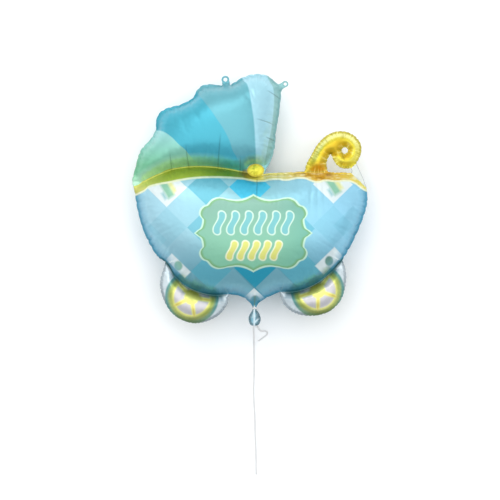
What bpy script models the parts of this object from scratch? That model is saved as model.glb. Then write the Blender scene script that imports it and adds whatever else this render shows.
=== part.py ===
"""Pram-shaped foil balloon, inflated and lying on its back, with its tied ribbon.

Metres, +X to the pram's front (its handle side), +Y to the top of its hood, +Z up from the floor.
Two equal sheets of foil are sealed round the outline and along inner lines, and blown up between them.
"""
import math

import bmesh
import bpy
import numpy as np
from mathutils.geometry import delaunay_2d_cdt

# Overall size. The outlines below are drawn on a pattern that is PATTERN_WIDTH units wide.
BALLOON_WIDTH = 0.730
PATTERN_WIDTH = 235.5
UNIT = BALLOON_WIDTH / PATTERN_WIDTH

# Foil: both sheets together, the flat border outside the puffs and the flat lines between them.
SEAM_THICKNESS = 0.0016
BORDER_WIDTH = 0.005
WELD_WIDTH = 0.005

# Depth of each puff, from the plane of the seams to its highest point.
BODY_PUFF = 0.122
HOOD_PUFF = 0.103
WHEEL_PUFF = 0.040
HANDLE_PUFF = 0.029
BUTTON_PUFF = 0.017
PUFF_ROUNDNESS = 0.5
REST_DENT = 0.0045

# Gathers that the seams draw into the foil.
PUCKER_PITCH = 0.054
PUCKER_DEPTH = 0.0030
PUCKER_REACH = 0.016
LEAST_PUFF = 0.6

# Hanging tabs on the hood.
REAR_TAB_RADIUS = 0.0120
REAR_TAB_HOLE = 0.0066
FRONT_TAB_RADIUS = 0.0100
FRONT_TAB_HOLE = 0.0052
TAB_ROOT_ANGLE = 62

# Handle curl and pivot button.
CURL_HOLE_RADIUS = 0.0095
BUTTON_WIDTH = 0.052
BUTTON_HEIGHT = 0.038
BUTTON_REAR_ANGLE = 200

# Ribbon and its tie round the neck.
RIBBON_WIDTH = 0.005
TIE_WIDTH = 0.0075
TIE_THICKNESS = 0.0016
KNOT_SIZE = (0.0160, 0.0070, 0.0070)
KNOT_SINK = 0.0005
TOUCH_GAP = 0.0003

# Neck, tied off, and the filling tail below it, drooping and folded down its middle.
NECK_WIDTH = 0.0120
NECK_DEPTH = 0.0072
NECK_LENGTH = TIE_WIDTH + 0.0035
NECK_FLARE = 0.0077
TAIL_WIDTH = 0.038
TAIL_LENGTH = 0.050
TAIL_DROOP = 0.012
TAIL_BEND = 1.4
TAIL_FOLD = 0.005
TAIL_FOLD_REACH = 0.012
TAIL_FRONT_EDGE = ((0.78, 0.26), (1.0, 0.62), (0.62, 0.95))
TAIL_REAR_EDGE = ((0.62, 0.96), (1.0, 0.55), (0.70, 0.22))

# Mesh density: along the outline, on small features, beside the seams and out to the middle of a puff.
OUTLINE_STEP = 0.0135
BUTTON_STEP = 0.0108
TAIL_STEP = 0.0077
SMALL_STEP = 0.0048
RING_STEPS = (0.0, 0.0075)
RING_SPACINGS = (0.0024, 0.0070)
RING_SLACK = 0.0002
GRID_STEP = 0.009
NEAR_SPACING = 0.0085
FAR_SPACING = 0.029
SPACING_GROWTH = 0.27

SHARP_ANGLE = 40

# Pattern, in pattern units. The hood, from its rear tip over the three scallops to the pivot.
REAR_TIP = (-116.5, 3.0)
HOOD_REAR = (REAR_TIP, (-118.0, 8.5), (-115.0, 21.0), (-109.5, 40.0), (-100.0, 51.0), (-94.5, 60.5))
SCALLOP_LOW = ((-94.5, 60.5), (-94.0, 71.0), (-90.0, 78.5), (-82.0, 83.0), (-70.0, 86.0), (-57.0, 92.5))
SCALLOP_MID = ((-57.0, 92.5), (-54.5, 98.5), (-50.0, 104.0), (-43.0, 106.5), (-35.0, 106.0), (-28.0, 105.0))
SCALLOP_TOP = ((-19.5, 106.0), (-7.0, 113.5), (5.5, 116.8), (17.0, 115.2), (24.0, 110.0), (28.5, 106.0))
HOOD_FRONT = ((32.0, 101.0), (30.5, 88.0), (29.0, 75.0), (26.0, 57.0), (25.0, 43.0), (22.0, 32.0),
              (18.5, 24.0), (13.5, 16.0))
REAR_TAB_CENTRE = (-24.7, 111.0)
FRONT_TAB_CENTRE = (35.3, 106.6)

# The rim in front of the hood, the handle over it, and the clear film that ties the two together.
RIM = ((13.5, 16.0), (19.0, 17.2), (36.0, 17.8), (54.5, 18.6))
HANDLE_OUTER = ((54.5, 18.6), (56.5, 26.5), (61.5, 35.5), (66.5, 44.5), (75.5, 54.0), (85.0, 58.6),
                (95.0, 59.0), (104.5, 55.0), (111.0, 46.5), (111.3, 37.0), (106.5, 26.5))
FILM_OUTER = ((106.5, 26.5), (110.0, 19.0), (113.5, 11.0), (116.5, 2.0))
HANDLE_INNER = ((78.0, 18.2), (76.7, 26.0), (78.0, 31.5), (80.7, 36.0))
CURL_UNDER = ((80.7, 36.0), (83.5, 29.8), (88.0, 23.7), (95.0, 21.2), (100.5, 21.6))
FILM_INNER = ((100.5, 21.6), (102.0, 19.5), (101.0, 17.0))
RIM_UNDER_WINDOW = ((101.0, 17.0), (94.0, 17.7), (86.0, 17.6), (78.0, 18.2))
CURL_CENTRE = (95.0, 39.8)

# The bowl, the wheels that show below it, and its funnel to the neck.
BOWL_FRONT = ((116.5, 2.0), (117.5, -6.0), (117.0, -15.0), (110.5, -35.0), (100.0, -57.5), (92.5, -70.0))
FRONT_WHEEL = ((92.5, -70.0), (95.5, -79.0), (96.2, -91.0), (91.0, -110.0), (78.5, -122.0), (59.0, -126.0),
               (42.0, -121.8), (33.0, -113.0), (29.5, -102.0))
FUNNEL_FRONT = ((29.5, -102.0), (18.5, -107.0), (11.0, -111.3))
NECK_MIDDLE = (4.6, -118.0)
FUNNEL_REAR = ((-1.5, -111.3), (-9.0, -106.5), (-20.7, -104.3))
REAR_WHEEL = ((-20.7, -104.3), (-23.0, -115.0), (-33.0, -126.5), (-55.0, -133.5), (-76.5, -124.8),
              (-87.0, -108.0), (-90.0, -93.0), (-84.5, -72.0))
BOWL_REAR = ((-84.5, -72.0), (-92.5, -66.5), (-105.5, -43.5), (-113.0, -18.0), (-115.0, -5.0), REAR_TIP)

# Inner welds.
HOOD_WELD = (REAR_TIP, (-107.0, 8.0), (-90.0, 16.0), (-74.0, 21.3), (-50.0, 23.3), (-25.0, 21.2),
             (-3.0, 17.4))
BUTTON_CENTRE = (5.7, 19.7)
FRONT_WHEEL_WELD = ((92.5, -70.0), (81.0, -82.5), (62.0, -96.0), (45.0, -101.5), (29.5, -102.0))
REAR_WHEEL_WELD = ((-20.7, -104.3), (-38.0, -105.0), (-58.0, -99.5), (-74.0, -87.5), (-84.5, -72.0))
CURL_FILM_WELD = ((100.5, 21.6), (103.8, 23.4), (106.5, 26.5))
RIM_FILM_WELD = ((101.0, 17.0), (108.0, 12.5), (116.5, 2.0))
HANDLE_WELD = ((54.5, 18.6), (66.0, 17.4), (78.0, 18.2))
FLAT_FILM = (RIM_UNDER_WINDOW[0], FILM_INNER[0], HANDLE_OUTER[-1], BOWL_FRONT[0])

# A point inside each puff, with the puff's depth.
HOOD_HEART = (-25.0, 65.0)
PUFFS = (
    ((0.0, -40.0), BODY_PUFF),
    (HOOD_HEART, HOOD_PUFF),
    ((-58.0, -115.0), WHEEL_PUFF),
    ((68.0, -110.0), WHEEL_PUFF),
    ((70.0, 35.0), HANDLE_PUFF),
    (BUTTON_CENTRE, BUTTON_PUFF),
)

# Ribbon routes, as steps from the knot's lower face in X and Y and the share of the drop to the floor.
RIBBON_ROUTE = ((-0.0036, 0.0, 0.0), (-0.0038, -0.007, 0.02), (-0.0038, -0.020, 0.12),
                (-0.0035, -0.043, 0.34), (-0.003, -0.068, 0.57), (-0.002, -0.095, 0.78),
                (-0.002, -0.126, 0.925), (-0.001, -0.163, 0.985), (-0.001, -0.205, 1.0), (-0.003, -0.265, 1.0),
                (0.001, -0.350, 1.0), (0.004, -0.440, 1.0), (0.006, -0.528, 1.0))
END_ROUTE = ((0.0036, 0.0, 0.0), (0.0040, -0.006, 0.03), (0.0052, -0.016, 0.18), (0.0070, -0.031, 0.45),
             (0.0080, -0.047, 0.72), (0.0120, -0.063, 0.92), (0.0220, -0.0735, 1.0), (0.0345, -0.0730, 1.0),
             (0.0410, -0.0780, 1.0), (0.0375, -0.0865, 1.0), (0.0260, -0.0955, 1.0), (0.0125, -0.1050, 1.0))
RIBBON_POINT_STEP = 0.0125
END_POINT_STEP = 0.0065
SPAN_SAMPLES = 24

FOIL_COLOUR = (0.36, 0.68, 0.80)
RIBBON_COLOUR = (0.86, 0.86, 0.86)


def smooth_curve(points):
    """A dense smooth curve through the points (centripetal Catmull-Rom)."""
    points = np.array(points, dtype=float)
    padded = np.vstack([2 * points[0] - points[1], points, 2 * points[-1] - points[-2]])
    curve = [points[0]]
    for i in range(len(points) - 1):
        p = padded[i:i + 4]
        t = np.concatenate([[0.0], np.cumsum(np.sqrt(np.linalg.norm(np.diff(p, axis=0), axis=1)))])
        for s in np.linspace(t[1], t[2], SPAN_SAMPLES + 1)[1:]:
            level = p
            for width in (1, 2, 3):
                level = [blend(level[k], level[k + 1], s, *knots(t, width, k))
                         for k in range(len(level) - 1)]
            curve.append(level[0])
    return np.array(curve)


def knots(t, width, k):
    """The two knots that the pair k blends between at this level of the curve's pyramid."""
    if width == 1:
        return t[k], t[k + 1]
    if width == 2:
        return t[k], t[k + 2]
    return t[1], t[2]


def blend(a, b, s, start, end):
    """The mix of a and b at s between start and end."""
    return ((end - s) * np.asarray(a) + (s - start) * np.asarray(b)) / (end - start)


def resample(curve, step):
    """The same curve with points about step apart, both ends kept."""
    lengths = np.concatenate([[0.0], np.cumsum(np.linalg.norm(np.diff(curve, axis=0), axis=1))])
    count = max(2, round(lengths[-1] / step))
    places = np.linspace(0.0, lengths[-1], count + 1)
    return np.column_stack([np.interp(places, lengths, curve[:, k]) for k in range(curve.shape[1])])


def stretch(points, step=OUTLINE_STEP):
    """A stretch of the pattern in metres, smooth between its ends."""
    return resample(smooth_curve(np.array(points) * UNIT), step)


def arc(centre, radii, start, end, step):
    """An elliptic arc in metres about a centre in metres, angles in degrees."""
    angles = np.radians(np.linspace(start, end, 65))
    curve = np.column_stack([centre[0] + radii[0] * np.cos(angles), centre[1] + radii[1] * np.sin(angles)])
    return resample(curve, step)


def pattern_point(point):
    """A pattern point in metres."""
    return np.array(point) * UNIT


def tab(centre, radius, root_start, root_end):
    """A rounded hanging tab, from one root point over the top to the other, turning clockwise."""
    centre = pattern_point(centre)
    root = (pattern_point(root_start) + pattern_point(root_end)) / 2 - centre
    down = math.degrees(math.atan2(root[1], root[0]))
    return arc(centre, (radius, radius), down - TAB_ROOT_ANGLE, down + TAB_ROOT_ANGLE - 360, SMALL_STEP)


def tail_outline():
    """The neck and the filling tail, from the funnel's front side round to its rear side."""
    x, y = pattern_point(NECK_MIDDLE)
    neck, half = NECK_WIDTH / 2, NECK_LENGTH / 2
    top = y - half
    flap = [(x + neck, top)]
    flap += [(x + TAIL_WIDTH / 2 * out, top - TAIL_LENGTH * down) for out, down in TAIL_FRONT_EDGE]
    flap += [(x, top - TAIL_LENGTH)]
    flap += [(x - TAIL_WIDTH / 2 * out, top - TAIL_LENGTH * down) for out, down in TAIL_REAR_EDGE]
    flap += [(x - neck, top)]
    front = np.array([(x + neck, y + half), flap[0]])
    rear = np.array([flap[-1], (x - neck, y + half)])
    return join([resample(front, SMALL_STEP), resample(smooth_curve(flap), TAIL_STEP),
                 resample(rear, SMALL_STEP)])


def join(parts):
    """Consecutive stretches as one line, without doubled points."""
    line = [parts[0][0]]
    for part in parts:
        for point in part:
            if np.linalg.norm(point - line[-1]) > 1e-6:
                line.append(point)
    return np.array(line)


def outer_outline():
    """The whole outline of the foil, clockwise from the rear tip, open at its end."""
    line = join([
        stretch(HOOD_REAR), stretch(SCALLOP_LOW), stretch(SCALLOP_MID),
        tab(REAR_TAB_CENTRE, REAR_TAB_RADIUS, SCALLOP_MID[-1], SCALLOP_TOP[0]),
        stretch(SCALLOP_TOP),
        tab(FRONT_TAB_CENTRE, FRONT_TAB_RADIUS, SCALLOP_TOP[-1], HOOD_FRONT[0]),
        stretch(HOOD_FRONT), stretch(RIM), stretch(HANDLE_OUTER), stretch(FILM_OUTER), stretch(BOWL_FRONT),
        stretch(FRONT_WHEEL), stretch(FUNNEL_FRONT, TAIL_STEP), tail_outline(),
        stretch(FUNNEL_REAR, TAIL_STEP), stretch(REAR_WHEEL), stretch(BOWL_REAR),
    ])
    return line[:-1]


def hole_outlines():
    """The closed outlines cut out of the foil: window under the curl, its eye and the tab holes."""
    window = (HANDLE_INNER, CURL_UNDER, FILM_INNER, RIM_UNDER_WINDOW)
    holes = [join([stretch(side) for side in window])[:-1]]
    for centre, radius in ((CURL_CENTRE, CURL_HOLE_RADIUS), (REAR_TAB_CENTRE, REAR_TAB_HOLE),
                           (FRONT_TAB_CENTRE, FRONT_TAB_HOLE)):
        holes.append(arc(pattern_point(centre), (radius, radius), 0, 360, SMALL_STEP)[:-1])
    return holes


def weld_lines():
    """The open lines along which both sheets are sealed inside the outline."""
    button = arc(pattern_point(BUTTON_CENTRE), (BUTTON_WIDTH / 2, BUTTON_HEIGHT / 2), BUTTON_REAR_ANGLE,
                 BUTTON_REAR_ANGLE - 360, BUTTON_STEP)
    hood = np.vstack([stretch(HOOD_WELD)[:-1], button[:1]])
    corner = pattern_point(HOOD_FRONT[-1])
    nearest = button[np.argmin(np.linalg.norm(button - corner, axis=1))]
    return [hood, button, np.array([nearest, corner]), stretch(FRONT_WHEEL_WELD), stretch(REAR_WHEEL_WELD),
            stretch(CURL_FILM_WELD), stretch(RIM_FILM_WELD), stretch(HANDLE_WELD)]


def inside(points, polygon):
    """Which points lie inside the closed polygon."""
    x, y = points[:, 0:1], points[:, 1:2]
    ax, ay = polygon[:, 0], polygon[:, 1]
    bx, by = np.roll(ax, -1), np.roll(ay, -1)
    crosses = (ay > y) != (by > y)
    rise = np.where(by == ay, 1.0, by - ay)
    hits = crosses & (x < (bx - ax) * (y - ay) / rise + ax)
    return hits.sum(axis=1) % 2 == 1


class Seams:
    """Every line at which the sheets meet, with how far its flat strip reaches to each side."""

    def __init__(self, outline, holes, welds):
        self.lines = [(outline, True, BORDER_WIDTH)]
        self.lines += [(hole, True, BORDER_WIDTH) for hole in holes]
        self.lines += [(weld, False, WELD_WIDTH / 2) for weld in welds]
        pairs = [segments(line, closed) for line, closed, _ in self.lines]
        self.starts = np.vstack([a for a, _ in pairs])
        self.run = np.vstack([b - a for a, b in pairs])
        self.length = np.linalg.norm(self.run, axis=1)
        lengths = [np.linalg.norm(b - a, axis=1) for a, b in pairs]
        self.along = np.concatenate([np.cumsum(one) - one for one in lengths])
        self.reach = np.concatenate([np.full(len(a), line[2]) for (a, _), line in zip(pairs, self.lines)])

    def measure(self, points):
        """Distance from each point to the nearest strip's edge, negative on it, and the place along it."""
        offset = points[:, None, :] - self.starts[None]
        share = np.clip((offset * self.run[None]).sum(axis=2) / self.length ** 2, 0.0, 1.0)
        away = np.linalg.norm(offset - share[..., None] * self.run[None], axis=2) - self.reach
        nearest = away.argmin(axis=1)
        rows = np.arange(len(points))
        return away[rows, nearest], self.along[nearest] + share[rows, nearest] * self.length[nearest]


def segments(line, closed):
    """The starts and ends of a line's segments."""
    if closed:
        return line, np.roll(line, -1, axis=0)
    return line[:-1], line[1:]


def beside(line, closed, distance):
    """Points beside the middle of each segment, to the left or, for a negative distance, to the right."""
    starts, ends = segments(line, closed)
    run = ends - starts
    normal = np.column_stack([-run[:, 1], run[:, 0]]) / np.linalg.norm(run, axis=1)[:, None]
    return (starts + ends) / 2 + normal * distance


def grid_points(outline):
    """Candidate points of a triangular grid over the outline's box."""
    low, high = outline.min(axis=0), outline.max(axis=0)
    row_step = GRID_STEP * math.sqrt(3) / 2
    rows = []
    for k, y in enumerate(np.arange(low[1], high[1], row_step)):
        xs = np.arange(low[0] + (k % 2) * GRID_STEP / 2, high[0], GRID_STEP)
        rows.append(np.column_stack([xs, np.full(len(xs), y)]))
    return np.vstack(rows)


class Net:
    """The points and fixed edges that the sheet's triangles are made from."""

    def __init__(self):
        self.points = []
        self.edges = []

    def add_line(self, line, closed):
        """Add a whole line with its edges."""
        first = len(self.points)
        self.points.extend(line)
        self.link(list(range(first, first + len(line))), closed)

    def add_apart(self, candidates, allowed, spacings):
        """Add the allowed candidates that stay at least their spacing from all others; None for the rest."""
        spacings = np.broadcast_to(spacings, len(candidates))
        places = []
        for point, good, spacing in zip(candidates, allowed, spacings):
            good = good and np.linalg.norm(np.array(self.points) - point, axis=1).min() >= spacing
            places.append(len(self.points) if good else None)
            if good:
                self.points.append(point)
        return places

    def link(self, places, closed):
        """Fix the edges between neighbours that were both added."""
        following = places[1:] + places[:1] if closed else places[1:]
        self.edges.extend(pair for pair in zip(places, following) if None not in pair)


def flat_foil():
    """The triangulated flat sheet: its points, triangles and the seams that shape it."""
    outline, holes, welds = outer_outline(), hole_outlines(), weld_lines()
    seams = Seams(outline, holes, welds)

    def within(points):
        return inside(points, outline) & ~np.any([inside(points, hole) for hole in holes], axis=0)

    net = Net()
    for line, closed, _ in seams.lines:
        net.add_line(line, closed)
    crease = tail_crease()
    net.add_apart(crease, within(crease), SMALL_STEP / 2)
    for outset, spacing in zip(RING_STEPS, RING_SPACINGS):
        for line, closed, reach in seams.lines:
            for side in (1, -1):
                ring = beside(line, closed, side * (reach + outset))
                allowed = within(ring) & (seams.measure(ring)[0] >= outset - RING_SLACK)
                net.link(net.add_apart(ring, allowed, spacing), closed)
    grid = grid_points(outline)
    away = seams.measure(grid)[0]
    order = np.argsort(away, kind="stable")
    order = order[away[order] > RING_STEPS[-1] + NEAR_SPACING / 2]
    spacings = np.minimum(NEAR_SPACING + SPACING_GROWTH * away[order], FAR_SPACING)
    net.add_apart(grid[order], within(grid[order]), spacings)

    verts, _, faces, _, _, _ = delaunay_2d_cdt([tuple(p) for p in net.points], net.edges, [], 0, 1e-7)
    verts = np.array([tuple(v) for v in verts])
    faces = np.array(faces)
    return verts, faces[within(verts[faces].mean(axis=1))], seams, outline


def tail_crease():
    """Points down the middle of the neck and tail, where the foil is gathered and folded."""
    x, y = pattern_point(NECK_MIDDLE)
    top = y + NECK_LENGTH
    bottom = y - NECK_LENGTH / 2 - TAIL_LENGTH + BORDER_WIDTH
    return resample(np.array([(x, top), (x, bottom)]), SMALL_STEP)


def stiffness(verts, faces):
    """The cotangent Laplacian of the flat sheet and the area round each point."""
    size = len(verts)
    matrix, areas = np.zeros((size, size)), np.zeros(size)
    for k in range(3):
        a, b, c = faces[:, k], faces[:, (k + 1) % 3], faces[:, (k + 2) % 3]
        u, v = verts[a] - verts[c], verts[b] - verts[c]
        cross = np.abs(u[:, 0] * v[:, 1] - u[:, 1] * v[:, 0])
        weight = (u * v).sum(axis=1) / cross / 2
        for i, j in ((a, b), (b, a)):
            np.add.at(matrix, (i, j), -weight)
            np.add.at(matrix, (i, i), weight)
        np.add.at(areas, c, cross / 6)
    return matrix, areas


def chambers(faces, free, size):
    """The number of the puff that each free point belongs to, by spreading over shared triangles."""
    label = np.where(free, np.arange(size), -1)
    while True:
        before = label.copy()
        corner = np.where(free[faces], label[faces], size)
        lowest = corner.min(axis=1)
        for k in range(3):
            inner = free[faces[:, k]]
            np.minimum.at(label, faces[inner, k], lowest[inner])
        if (label == before).all():
            return label


def puff_heights(verts, faces, seams):
    """How far each point of a sheet is blown up from the plane of the seams."""
    away, place = seams.measure(verts)
    free = (away > RING_STEPS[-1] / 2) & ~in_tail(verts) & ~inside(verts, pattern_point(FLAT_FILM))
    matrix, areas = stiffness(verts, faces)
    rise = np.zeros(len(verts))
    rise[free] = np.linalg.solve(matrix[np.ix_(free, free)], areas[free])
    rise = np.maximum(rise, 0.0)
    label = chambers(faces, free, len(verts))
    gather = PUCKER_DEPTH / BODY_PUFF * np.exp(-away / PUCKER_REACH)
    gather *= np.cos(2 * math.pi * place / PUCKER_PITCH)
    heights = np.zeros(len(verts))
    for heart, depth in PUFFS:
        nearest = np.where(free, np.linalg.norm(verts - pattern_point(heart), axis=1), np.inf).argmin()
        members = label == label[nearest]
        profile = (rise[members] / rise[members].max()) ** PUFF_ROUNDNESS
        heights[members] = depth * np.maximum(profile + gather[members], profile * LEAST_PUFF)
    return heights + neck_gather(verts)


def in_tail(verts):
    """Which points belong to the neck or the tail."""
    x, y = pattern_point(NECK_MIDDLE)
    return (np.abs(verts[:, 0] - x) < TAIL_WIDTH * 0.7) & (verts[:, 1] < y + NECK_LENGTH)


def neck_gather(verts):
    """Extra depth where the foil is drawn together at the tie."""
    x, y = pattern_point(NECK_MIDDLE)
    across = np.clip(1 - np.abs(verts[:, 0] - x) / (NECK_WIDTH / 2), 0, 1)
    beyond = np.clip(np.abs(verts[:, 1] - y) - NECK_LENGTH / 2, 0, None)
    return (NECK_DEPTH - SEAM_THICKNESS) / 2 * across * np.exp(-(beyond / NECK_FLARE) ** 2)


def smooth_step(value):
    """Zero to one, level at both ends."""
    value = np.clip(value, 0.0, 1.0)
    return value * value * (3 - 2 * value)


def seam_plane(verts):
    """Height of the plane of the seams: the hood leans back to the floor and the tail droops."""
    body = BODY_PUFF + SEAM_THICKNESS / 2 - REST_DENT
    weld, heart = HOOD_WELD[-1][1] * UNIT, HOOD_HEART[1] * UNIT
    lean = (BODY_PUFF - HOOD_PUFF) * smooth_step((verts[:, 1] - weld) / (heart - weld))
    x, y = pattern_point(NECK_MIDDLE)
    below = np.where(in_tail(verts), np.clip(y - NECK_LENGTH / 2 - verts[:, 1], 0, None), 0.0) / TAIL_LENGTH
    fold = TAIL_FOLD * smooth_step(2 * below) * (1 - np.abs(verts[:, 0] - x) / TAIL_FOLD_REACH)
    return body - lean - TAIL_DROOP * below ** TAIL_BEND + fold


def foil_mesh(verts, faces, heights, plane):
    """The closed foil: front sheet, back sheet pressed flat where it meets the floor, and the cut edge."""
    top = np.column_stack([verts, plane + SEAM_THICKNESS / 2 + heights])
    bottom = np.column_stack([verts, np.maximum(plane - SEAM_THICKNESS / 2 - heights, 0.0)])
    size = len(verts)
    bm = bmesh.new()
    corners = [bm.verts.new(p) for p in np.vstack([top, bottom])]
    turn = np.cross(verts[faces[:, 1]] - verts[faces[:, 0]], verts[faces[:, 2]] - verts[faces[:, 0]])
    faces = np.where(turn[:, None] > 0, faces, faces[:, ::-1])
    rim = {}
    for a, b, c in faces.tolist():
        bm.faces.new((corners[a], corners[b], corners[c]))
        bm.faces.new((corners[size + c], corners[size + b], corners[size + a]))
        for edge in ((a, b), (b, c), (c, a)):
            rim[edge] = rim.get(edge[::-1], 0) + 1
    for a, b in rim:
        if (b, a) not in rim:
            bm.faces.new((corners[b], corners[a], corners[size + a], corners[size + b]))
    bmesh.ops.delete(bm, geom=[v for v in bm.verts if not v.link_faces], context="VERTS")
    bmesh.ops.triangulate(bm, faces=bm.faces[:])
    mesh = bpy.data.meshes.new("balloon")
    bm.to_mesh(mesh)
    bm.free()
    mesh.shade_smooth()
    mesh.set_sharp_from_angle(angle=math.radians(SHARP_ANGLE))
    return mesh


def material(name, colour, metallic, roughness):
    """A plain Principled material."""
    made = bpy.data.materials.new(name)
    made.use_nodes = True
    shader = made.node_tree.nodes["Principled BSDF"]
    shader.inputs["Base Color"].default_value = (*colour, 1.0)
    shader.inputs["Metallic"].default_value = metallic
    shader.inputs["Roughness"].default_value = roughness
    return made


def add_object(name, data, collection, finish):
    """Add a named object with its own material."""
    made = bpy.data.objects.new(name, data)
    collection.objects.link(made)
    data.materials.append(finish)


def ribbon_tube(name, route, step, collection, finish):
    """Add a length of ribbon as a plain tube along its route."""
    points = resample(smooth_curve(route), step)
    points[:, 2] = np.maximum(points[:, 2], RIBBON_WIDTH / 2 + TOUCH_GAP)
    curve = bpy.data.curves.new(name, "CURVE")
    curve.dimensions = "3D"
    curve.bevel_depth = RIBBON_WIDTH / 2
    curve.bevel_resolution = 2
    curve.use_fill_caps = True
    spline = curve.splines.new("POLY")
    spline.points.add(len(points) - 1)
    for slot, point in zip(spline.points, points):
        slot.co = (*point, 1.0)
    add_object(name, curve, collection, finish)


def knot_centre(tie):
    """The middle of the knot, sunk a little into the underside of the band."""
    band = NECK_DEPTH / 2 + TOUCH_GAP + TIE_THICKNESS
    return tie - np.array([0.0, 0.0, band + KNOT_SIZE[2] / 2 - KNOT_SINK])


def ribbon_route(tie, steps):
    """The route from the knot's lower face down to the floor and along it."""
    start = knot_centre(tie) - np.array([0.0, KNOT_SIZE[1] / 2 + TOUCH_GAP, 0.0])
    drop = start[2] - RIBBON_WIDTH / 2 - TOUCH_GAP
    return np.array([(start[0] + x, start[1] + y, start[2] - drop * share) for x, y, share in steps])


def scaled_primitive(name, size, centre, collection, turn=0.0):
    """The primitive just added, given its real size and place, with its scale applied."""
    made = bpy.context.active_object
    made.name = name
    made.data.name = name
    for vert in made.data.vertices:
        vert.co = [c * s for c, s in zip(vert.co, size)]
    made.rotation_euler = (turn, 0.0, 0.0)
    made.location = centre
    for other in made.users_collection:
        other.objects.unlink(made)
    collection.objects.link(made)
    return made


def ribbon_tie(tie, collection, cutters, finish):
    """Add the ribbon's turns round the neck as one band, with its knot below."""
    inner = (NECK_WIDTH / 2 + TOUCH_GAP, NECK_DEPTH / 2 + TOUCH_GAP)
    outer = [side + TIE_THICKNESS for side in inner]
    quarter_turn = math.radians(90)
    bpy.ops.mesh.primitive_cylinder_add(vertices=32, radius=1.0, depth=1.0)
    band = scaled_primitive("ribbon_knot", (outer[0], outer[1], TIE_WIDTH), tie, collection, quarter_turn)
    band.data.materials.append(finish)
    bpy.ops.mesh.primitive_cylinder_add(vertices=32, radius=1.0, depth=2.0)
    bore = scaled_primitive("tie_bore", (inner[0], inner[1], TIE_WIDTH), tie, cutters, quarter_turn)
    bpy.ops.mesh.primitive_uv_sphere_add(segments=16, ring_count=8, radius=0.5)
    knot = scaled_primitive("tie_knot", KNOT_SIZE, knot_centre(tie), cutters)
    for cutter, operation in ((knot, "UNION"), (bore, "DIFFERENCE")):
        cutter.hide_render = True
        cutter.display_type = "WIRE"
        step = band.modifiers.new(operation.title(), "BOOLEAN")
        step.operation = operation
        step.object = cutter


def main():
    """Build the balloon and its ribbon."""
    for old in list(bpy.data.objects):
        bpy.data.objects.remove(old)
    parts = bpy.data.collections.new("Pram foil balloon")
    cutters = bpy.data.collections.new("Cutters")
    for group in (parts, cutters):
        bpy.context.scene.collection.children.link(group)

    verts, faces, seams, outline = flat_foil()
    heights = puff_heights(verts, faces, seams)
    plane = seam_plane(verts)
    centre = (outline.min(axis=0) + outline.max(axis=0)) / 2
    foil = material("Printed foil", FOIL_COLOUR, 0.55, 0.28)
    add_object("balloon", foil_mesh(verts - centre, faces, heights, plane), parts, foil)

    neck = pattern_point(NECK_MIDDLE)
    tie = np.array([*(neck - centre), float(seam_plane(neck[None])[0])])
    ribbon_tie(tie, parts, cutters, material("Ribbon knot", RIBBON_COLOUR, 0.0, 0.35))
    ribbon_tube("ribbon", ribbon_route(tie, RIBBON_ROUTE), RIBBON_POINT_STEP, parts,
                material("Ribbon length", RIBBON_COLOUR, 0.0, 0.35))
    ribbon_tube("ribbon_end", ribbon_route(tie, END_ROUTE), END_POINT_STEP, parts,
                material("Ribbon end", RIBBON_COLOUR, 0.0, 0.35))


main()
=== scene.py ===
"""The looks of the pram-shaped foil balloon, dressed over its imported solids.

Metres, in the frame of the solids: +X to the pram's front, +Y to the top of its hood, +Z up from the floor.
"""

import math

import bmesh
import bpy
import numpy as np
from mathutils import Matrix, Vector
from mathutils.bvhtree import BVHTree
from mathutils.geometry import delaunay_2d_cdt


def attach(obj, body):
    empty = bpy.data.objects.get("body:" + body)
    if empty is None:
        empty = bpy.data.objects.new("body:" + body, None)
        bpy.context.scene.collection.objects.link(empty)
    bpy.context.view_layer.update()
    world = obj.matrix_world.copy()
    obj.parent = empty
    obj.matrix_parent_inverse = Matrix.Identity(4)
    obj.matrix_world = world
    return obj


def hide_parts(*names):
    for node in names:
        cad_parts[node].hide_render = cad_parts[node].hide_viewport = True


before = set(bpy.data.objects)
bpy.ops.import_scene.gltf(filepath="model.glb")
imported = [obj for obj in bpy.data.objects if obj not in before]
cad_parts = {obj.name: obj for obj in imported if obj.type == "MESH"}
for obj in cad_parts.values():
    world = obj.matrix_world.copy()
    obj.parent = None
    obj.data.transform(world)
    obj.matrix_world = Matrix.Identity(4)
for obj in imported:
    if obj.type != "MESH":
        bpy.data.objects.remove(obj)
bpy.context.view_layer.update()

# Sizes shared with the solids.
BALLOON_WIDTH = 0.730
PATTERN_WIDTH = 235.5
UNIT = BALLOON_WIDTH / PATTERN_WIDTH
BORDER_WIDTH = 0.005
WELD_WIDTH = 0.005
SEAM_THICKNESS = 0.0016
BODY_PUFF = 0.122
HOOD_PUFF = 0.103
REST_DENT = 0.0045
REAR_TAB_RADIUS = 0.0120
REAR_TAB_HOLE = 0.0066
FRONT_TAB_RADIUS = 0.0100
FRONT_TAB_HOLE = 0.0052
TAB_ROOT_ANGLE = 62
CURL_HOLE_RADIUS = 0.0095
BUTTON_WIDTH = 0.052
BUTTON_HEIGHT = 0.038
BUTTON_REAR_ANGLE = 200
NECK_WIDTH = 0.0120
NECK_DEPTH = 0.0072
NECK_LENGTH = 0.0110
NECK_FLARE = 0.0077
TAIL_WIDTH = 0.038
TAIL_LENGTH = 0.050
TAIL_DROOP = 0.012
TAIL_BEND = 1.4
TAIL_FOLD = 0.005
TAIL_FOLD_REACH = 0.012
TAIL_FRONT_EDGE = ((0.78, 0.26), (1.0, 0.62), (0.62, 0.95))
TAIL_REAR_EDGE = ((0.62, 0.96), (1.0, 0.55), (0.70, 0.22))
RIBBON_WIDTH = 0.005
TIE_WIDTH = 0.0075
TIE_THICKNESS = 0.0016
KNOT_SIZE = (0.0160, 0.0070, 0.0070)
KNOT_SINK = 0.0005
TOUCH_GAP = 0.0003

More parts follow.
